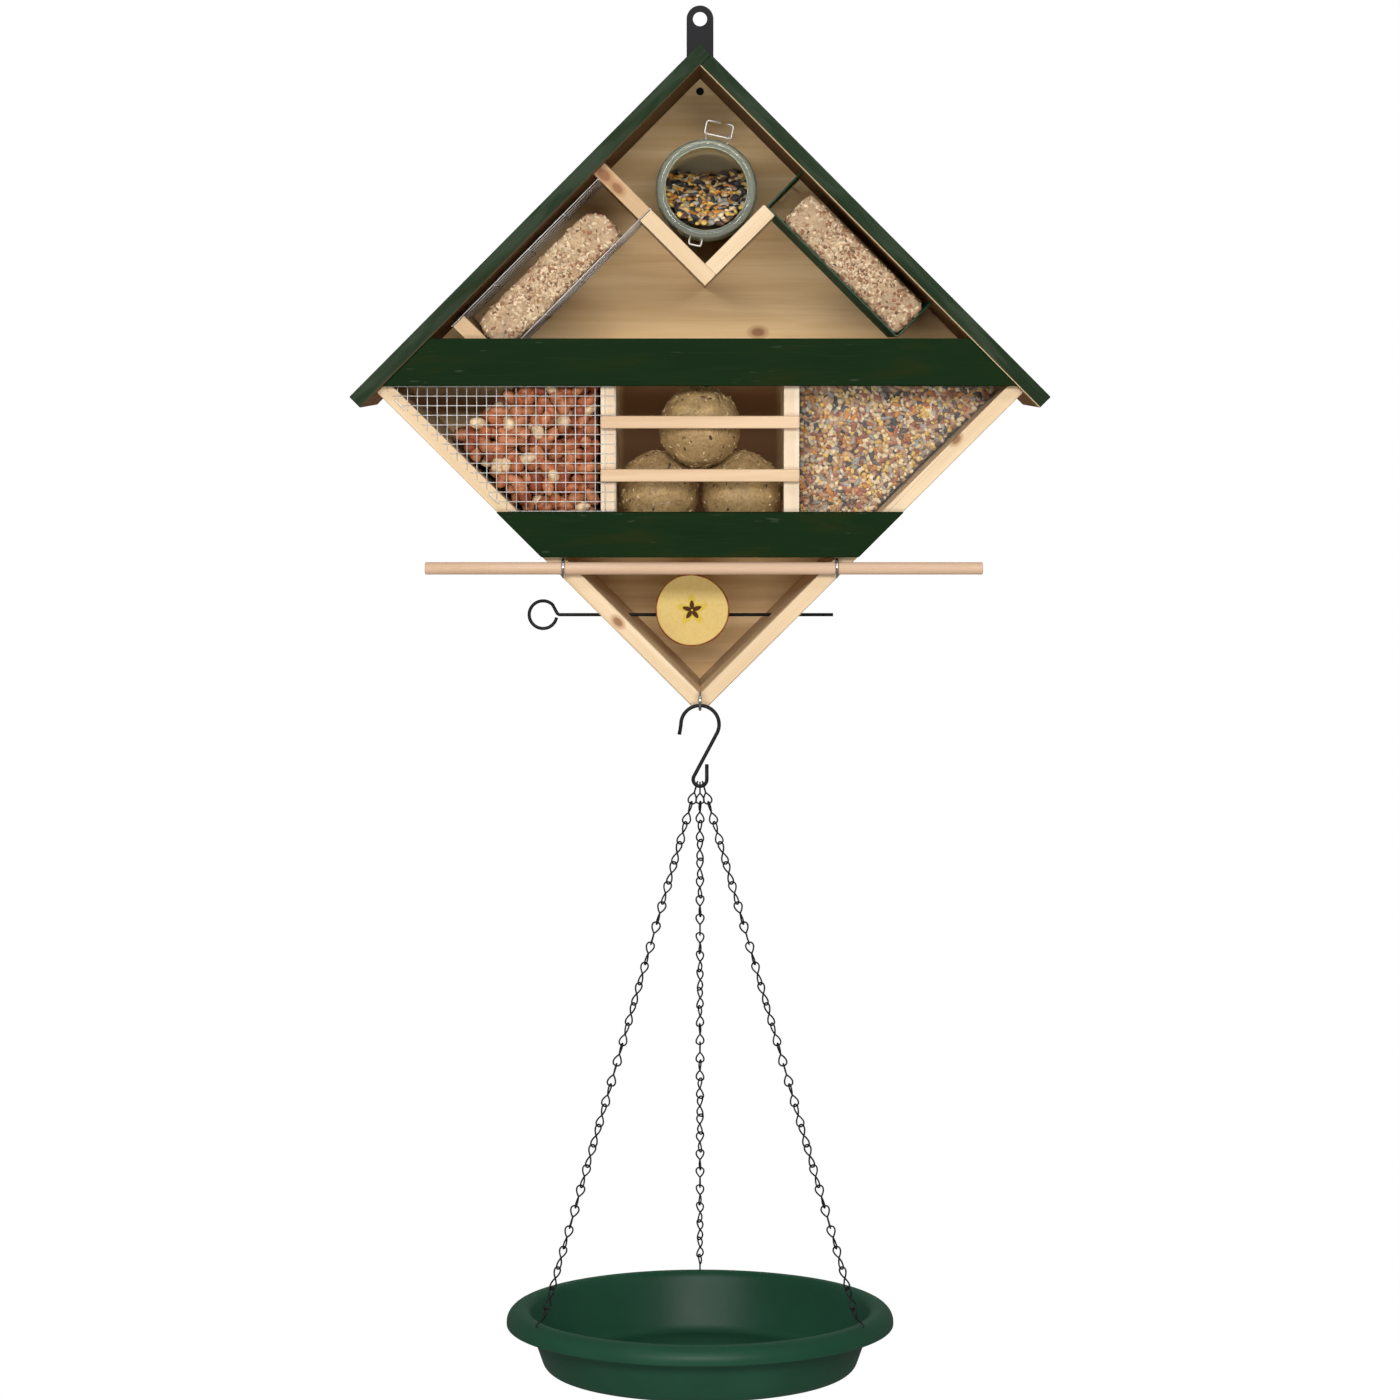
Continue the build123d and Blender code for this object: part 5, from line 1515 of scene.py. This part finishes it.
hook_joint = next(joint for joint in frame["joints"] if joint["name"] == "hook_swing")
bow_z = hook_joint["pos_m"][2] / MM - HOOK_BOW
loop_z = bow_z - HOOK_LENGTH
lean = math.degrees(math.asin((HOOK_BOW + HOOK_LOOP) / HOOK_LENGTH))
hook_line = np.vstack([
    [(-HOOK_BOW - 1.1, bow_z - 6.5), (-HOOK_BOW - 0.4, bow_z - 2.8)],
    arc((0.0, bow_z), HOOK_BOW, 180.0, -lean, 48),
    arc((0.0, loop_z), HOOK_LOOP, 180.0 - lean, 360.0, 32),
    [(HOOK_LOOP, loop_z + 9.8)],
])
hook_wire = tube(upright(hook_line, RING_Y), HOOK_WIRE / 2.0, FACING, 14)
add_piece("s_hook_wire", hook_wire, "hook", black_wire, ["s_hook"])

# %% Chain measures
CHAIN_WIRE, CHAIN_PLAY, HOOK_PLAY = 1.1, 0.3, 0.7
LINK_WIDTH, LINK_COUNT, LINK_TWIST = 5.2, 26, 13.0
CHAIN_RADIUS, RIM_HOLES, DISH_WALL, WAIST_RISE = 115.5, 120.5, 2.5, 4.0

dish_low, dish_high, dish_middle = box_mm("water_dish")
rim_top = dish_high[2]
rim_point = np.array([0.0, RING_Y, rim_top])
seat_z = loop_z - HOOK_LOOP
seat_reach = HOOK_WIRE / 2.0 + HOOK_PLAY + CHAIN_WIRE / 2.0
overlap = CHAIN_WIRE + CHAIN_PLAY
back_length = math.hypot(CHAIN_RADIUS, seat_z - rim_top - WAIST_RISE)
link_step = (back_length + seat_reach - overlap / 2.0) / (LINK_COUNT + 0.5)
half = (link_step + overlap) / 2.0
link_share = np.linspace(0.22, 2.0 * np.pi - 0.22, 30)
print("links of", round(2.0 * half, 1), "mm")


# %% Chains
def link_loop(waist, along, across, normal):
    """Pear-shaped loop from a waist: half the length (1 - cos p), width sin p sin(p / 2)."""
    out = half * (1.0 - np.cos(link_share)) / 2.0
    wide = 1.3 * LINK_WIDTH / 2.0 * np.sin(link_share) * np.sin(link_share / 2.0)
    path = waist + (out[:, None] * along + wide[:, None] * across)
    return tube(path, CHAIN_WIRE / 2.0, normal, 8)


chains = (("chain_left", 210.0, -2.3), ("chain_right", 330.0, 2.3), ("chain_back", 90.0, 0.0))
for node, turn, seat_x in chains:
    out_way = np.array([math.cos(math.radians(turn)), math.sin(math.radians(turn)), 0.0])
    rise = HOOK_LOOP - math.sqrt(HOOK_LOOP**2 - seat_x**2)
    seat = np.array([seat_x, RING_Y, seat_z + rise])
    last_waist = rim_point + CHAIN_RADIUS * out_way + WAIST_RISE * UPWARD
    length = np.linalg.norm(last_waist - seat)
    along = (last_waist - seat) / length
    step = (length - half + seat_reach) / LINK_COUNT
    level_way = unit(ACROSS - along * along[0])
    square_way = np.cross(along, level_way)
    parts = []
    for number in range(LINK_COUNT + 1):
        waist = seat + along * (half - seat_reach + step * number)
        twist = math.radians(LINK_TWIST * number)
        first = math.cos(twist) * level_way + math.sin(twist) * square_way
        second = math.cos(twist) * square_way - math.sin(twist) * level_way
        parts.append(link_loop(waist, -along, second, first))
        if number < LINK_COUNT:
            parts.append(link_loop(waist, along, first, second))
    hole = rim_point + RIM_HOLES * out_way
    over = hole + (CHAIN_PLAY + CHAIN_WIRE / 2.0) * UPWARD
    under = hole - (CHAIN_PLAY + CHAIN_WIRE / 2.0 + DISH_WALL) * UPWARD
    stem = rounded_line([last_waist, over, under, under + 2.0 * out_way], (0.9, 0.6))
    parts.append(tube(stem, CHAIN_WIRE / 2.0, np.cross(out_way, UPWARD), 8))
    add_piece(node + "_links", joined(*parts), "dish", black_wire, [node])

# %% [markdown]
# ## Water dish
# The dish is moulded in one piece of dark green plastic with a broad rolled rim, which hangs on
# the feet of the three chains. A bowl could be cut out of a solid, but a moulded wall is even.
# So its profile is a closed line, up the outside, over the rim and down the inside, with every
# corner rounded, and it is turned about the dish's own upright.

# %% Dish finish
DISH_TONES = ((0.3, (0.0095, 0.047, 0.0245)), (0.7, (0.012, 0.056, 0.0305)))

dish_plastic, tree, surface = new_finish("dish_plastic", 0.42, Specular_IOR_Level=0.2)
place = object_place(tree)
cloud = noise(tree, place, 22.0, 4.0)
feed(tree, surface.inputs["Base Color"], ramp(tree, cloud, *DISH_TONES))
feed(tree, surface.inputs["Roughness"], level(tree, cloud, 0.3, 0.7, 0.38, 0.46))
bumped(tree, surface, noise(tree, place, 900.0, 2.0), 0.00004, 0.4)
print("moulded plastic")

# %% Dish
RIM_DROP = 11.5
FOOT_OUTSIDE, FOOT_INSIDE, NECK_OUTSIDE, NECK_INSIDE = 100.5, 98.0, 114.0, 111.5

dish_foot = dish_low[2]
rim_radius = (dish_high[0] - dish_low[0]) / 2.0
under_rim, rim_inside, rim_edge = rim_top - DISH_WALL, rim_radius - DISH_WALL, rim_top - RIM_DROP
dish_line = rounded_line(
    [
        (dish_foot, 0.0), (dish_foot, FOOT_OUTSIDE), (under_rim, NECK_OUTSIDE),
        (under_rim, rim_inside), (rim_edge, rim_inside), (rim_edge, rim_radius),
        (rim_top, rim_radius), (rim_top, NECK_INSIDE), (dish_foot + DISH_WALL, FOOT_INSIDE),
        (dish_foot + DISH_WALL, 0.0),
    ],
    (9.0, 2.0, 1.2, 0.6, 1.0, 9.0, 5.5, 7.0), 12,
)
dish_shape = turned(dish_line, (*dish_middle[:2], 0.0), UPWARD, ACROSS, 160)
add_piece("water_dish_shell", dish_shape, "dish", dish_plastic, ["water_dish"])
print("dish of", round(2.0 * rim_radius), "mm")
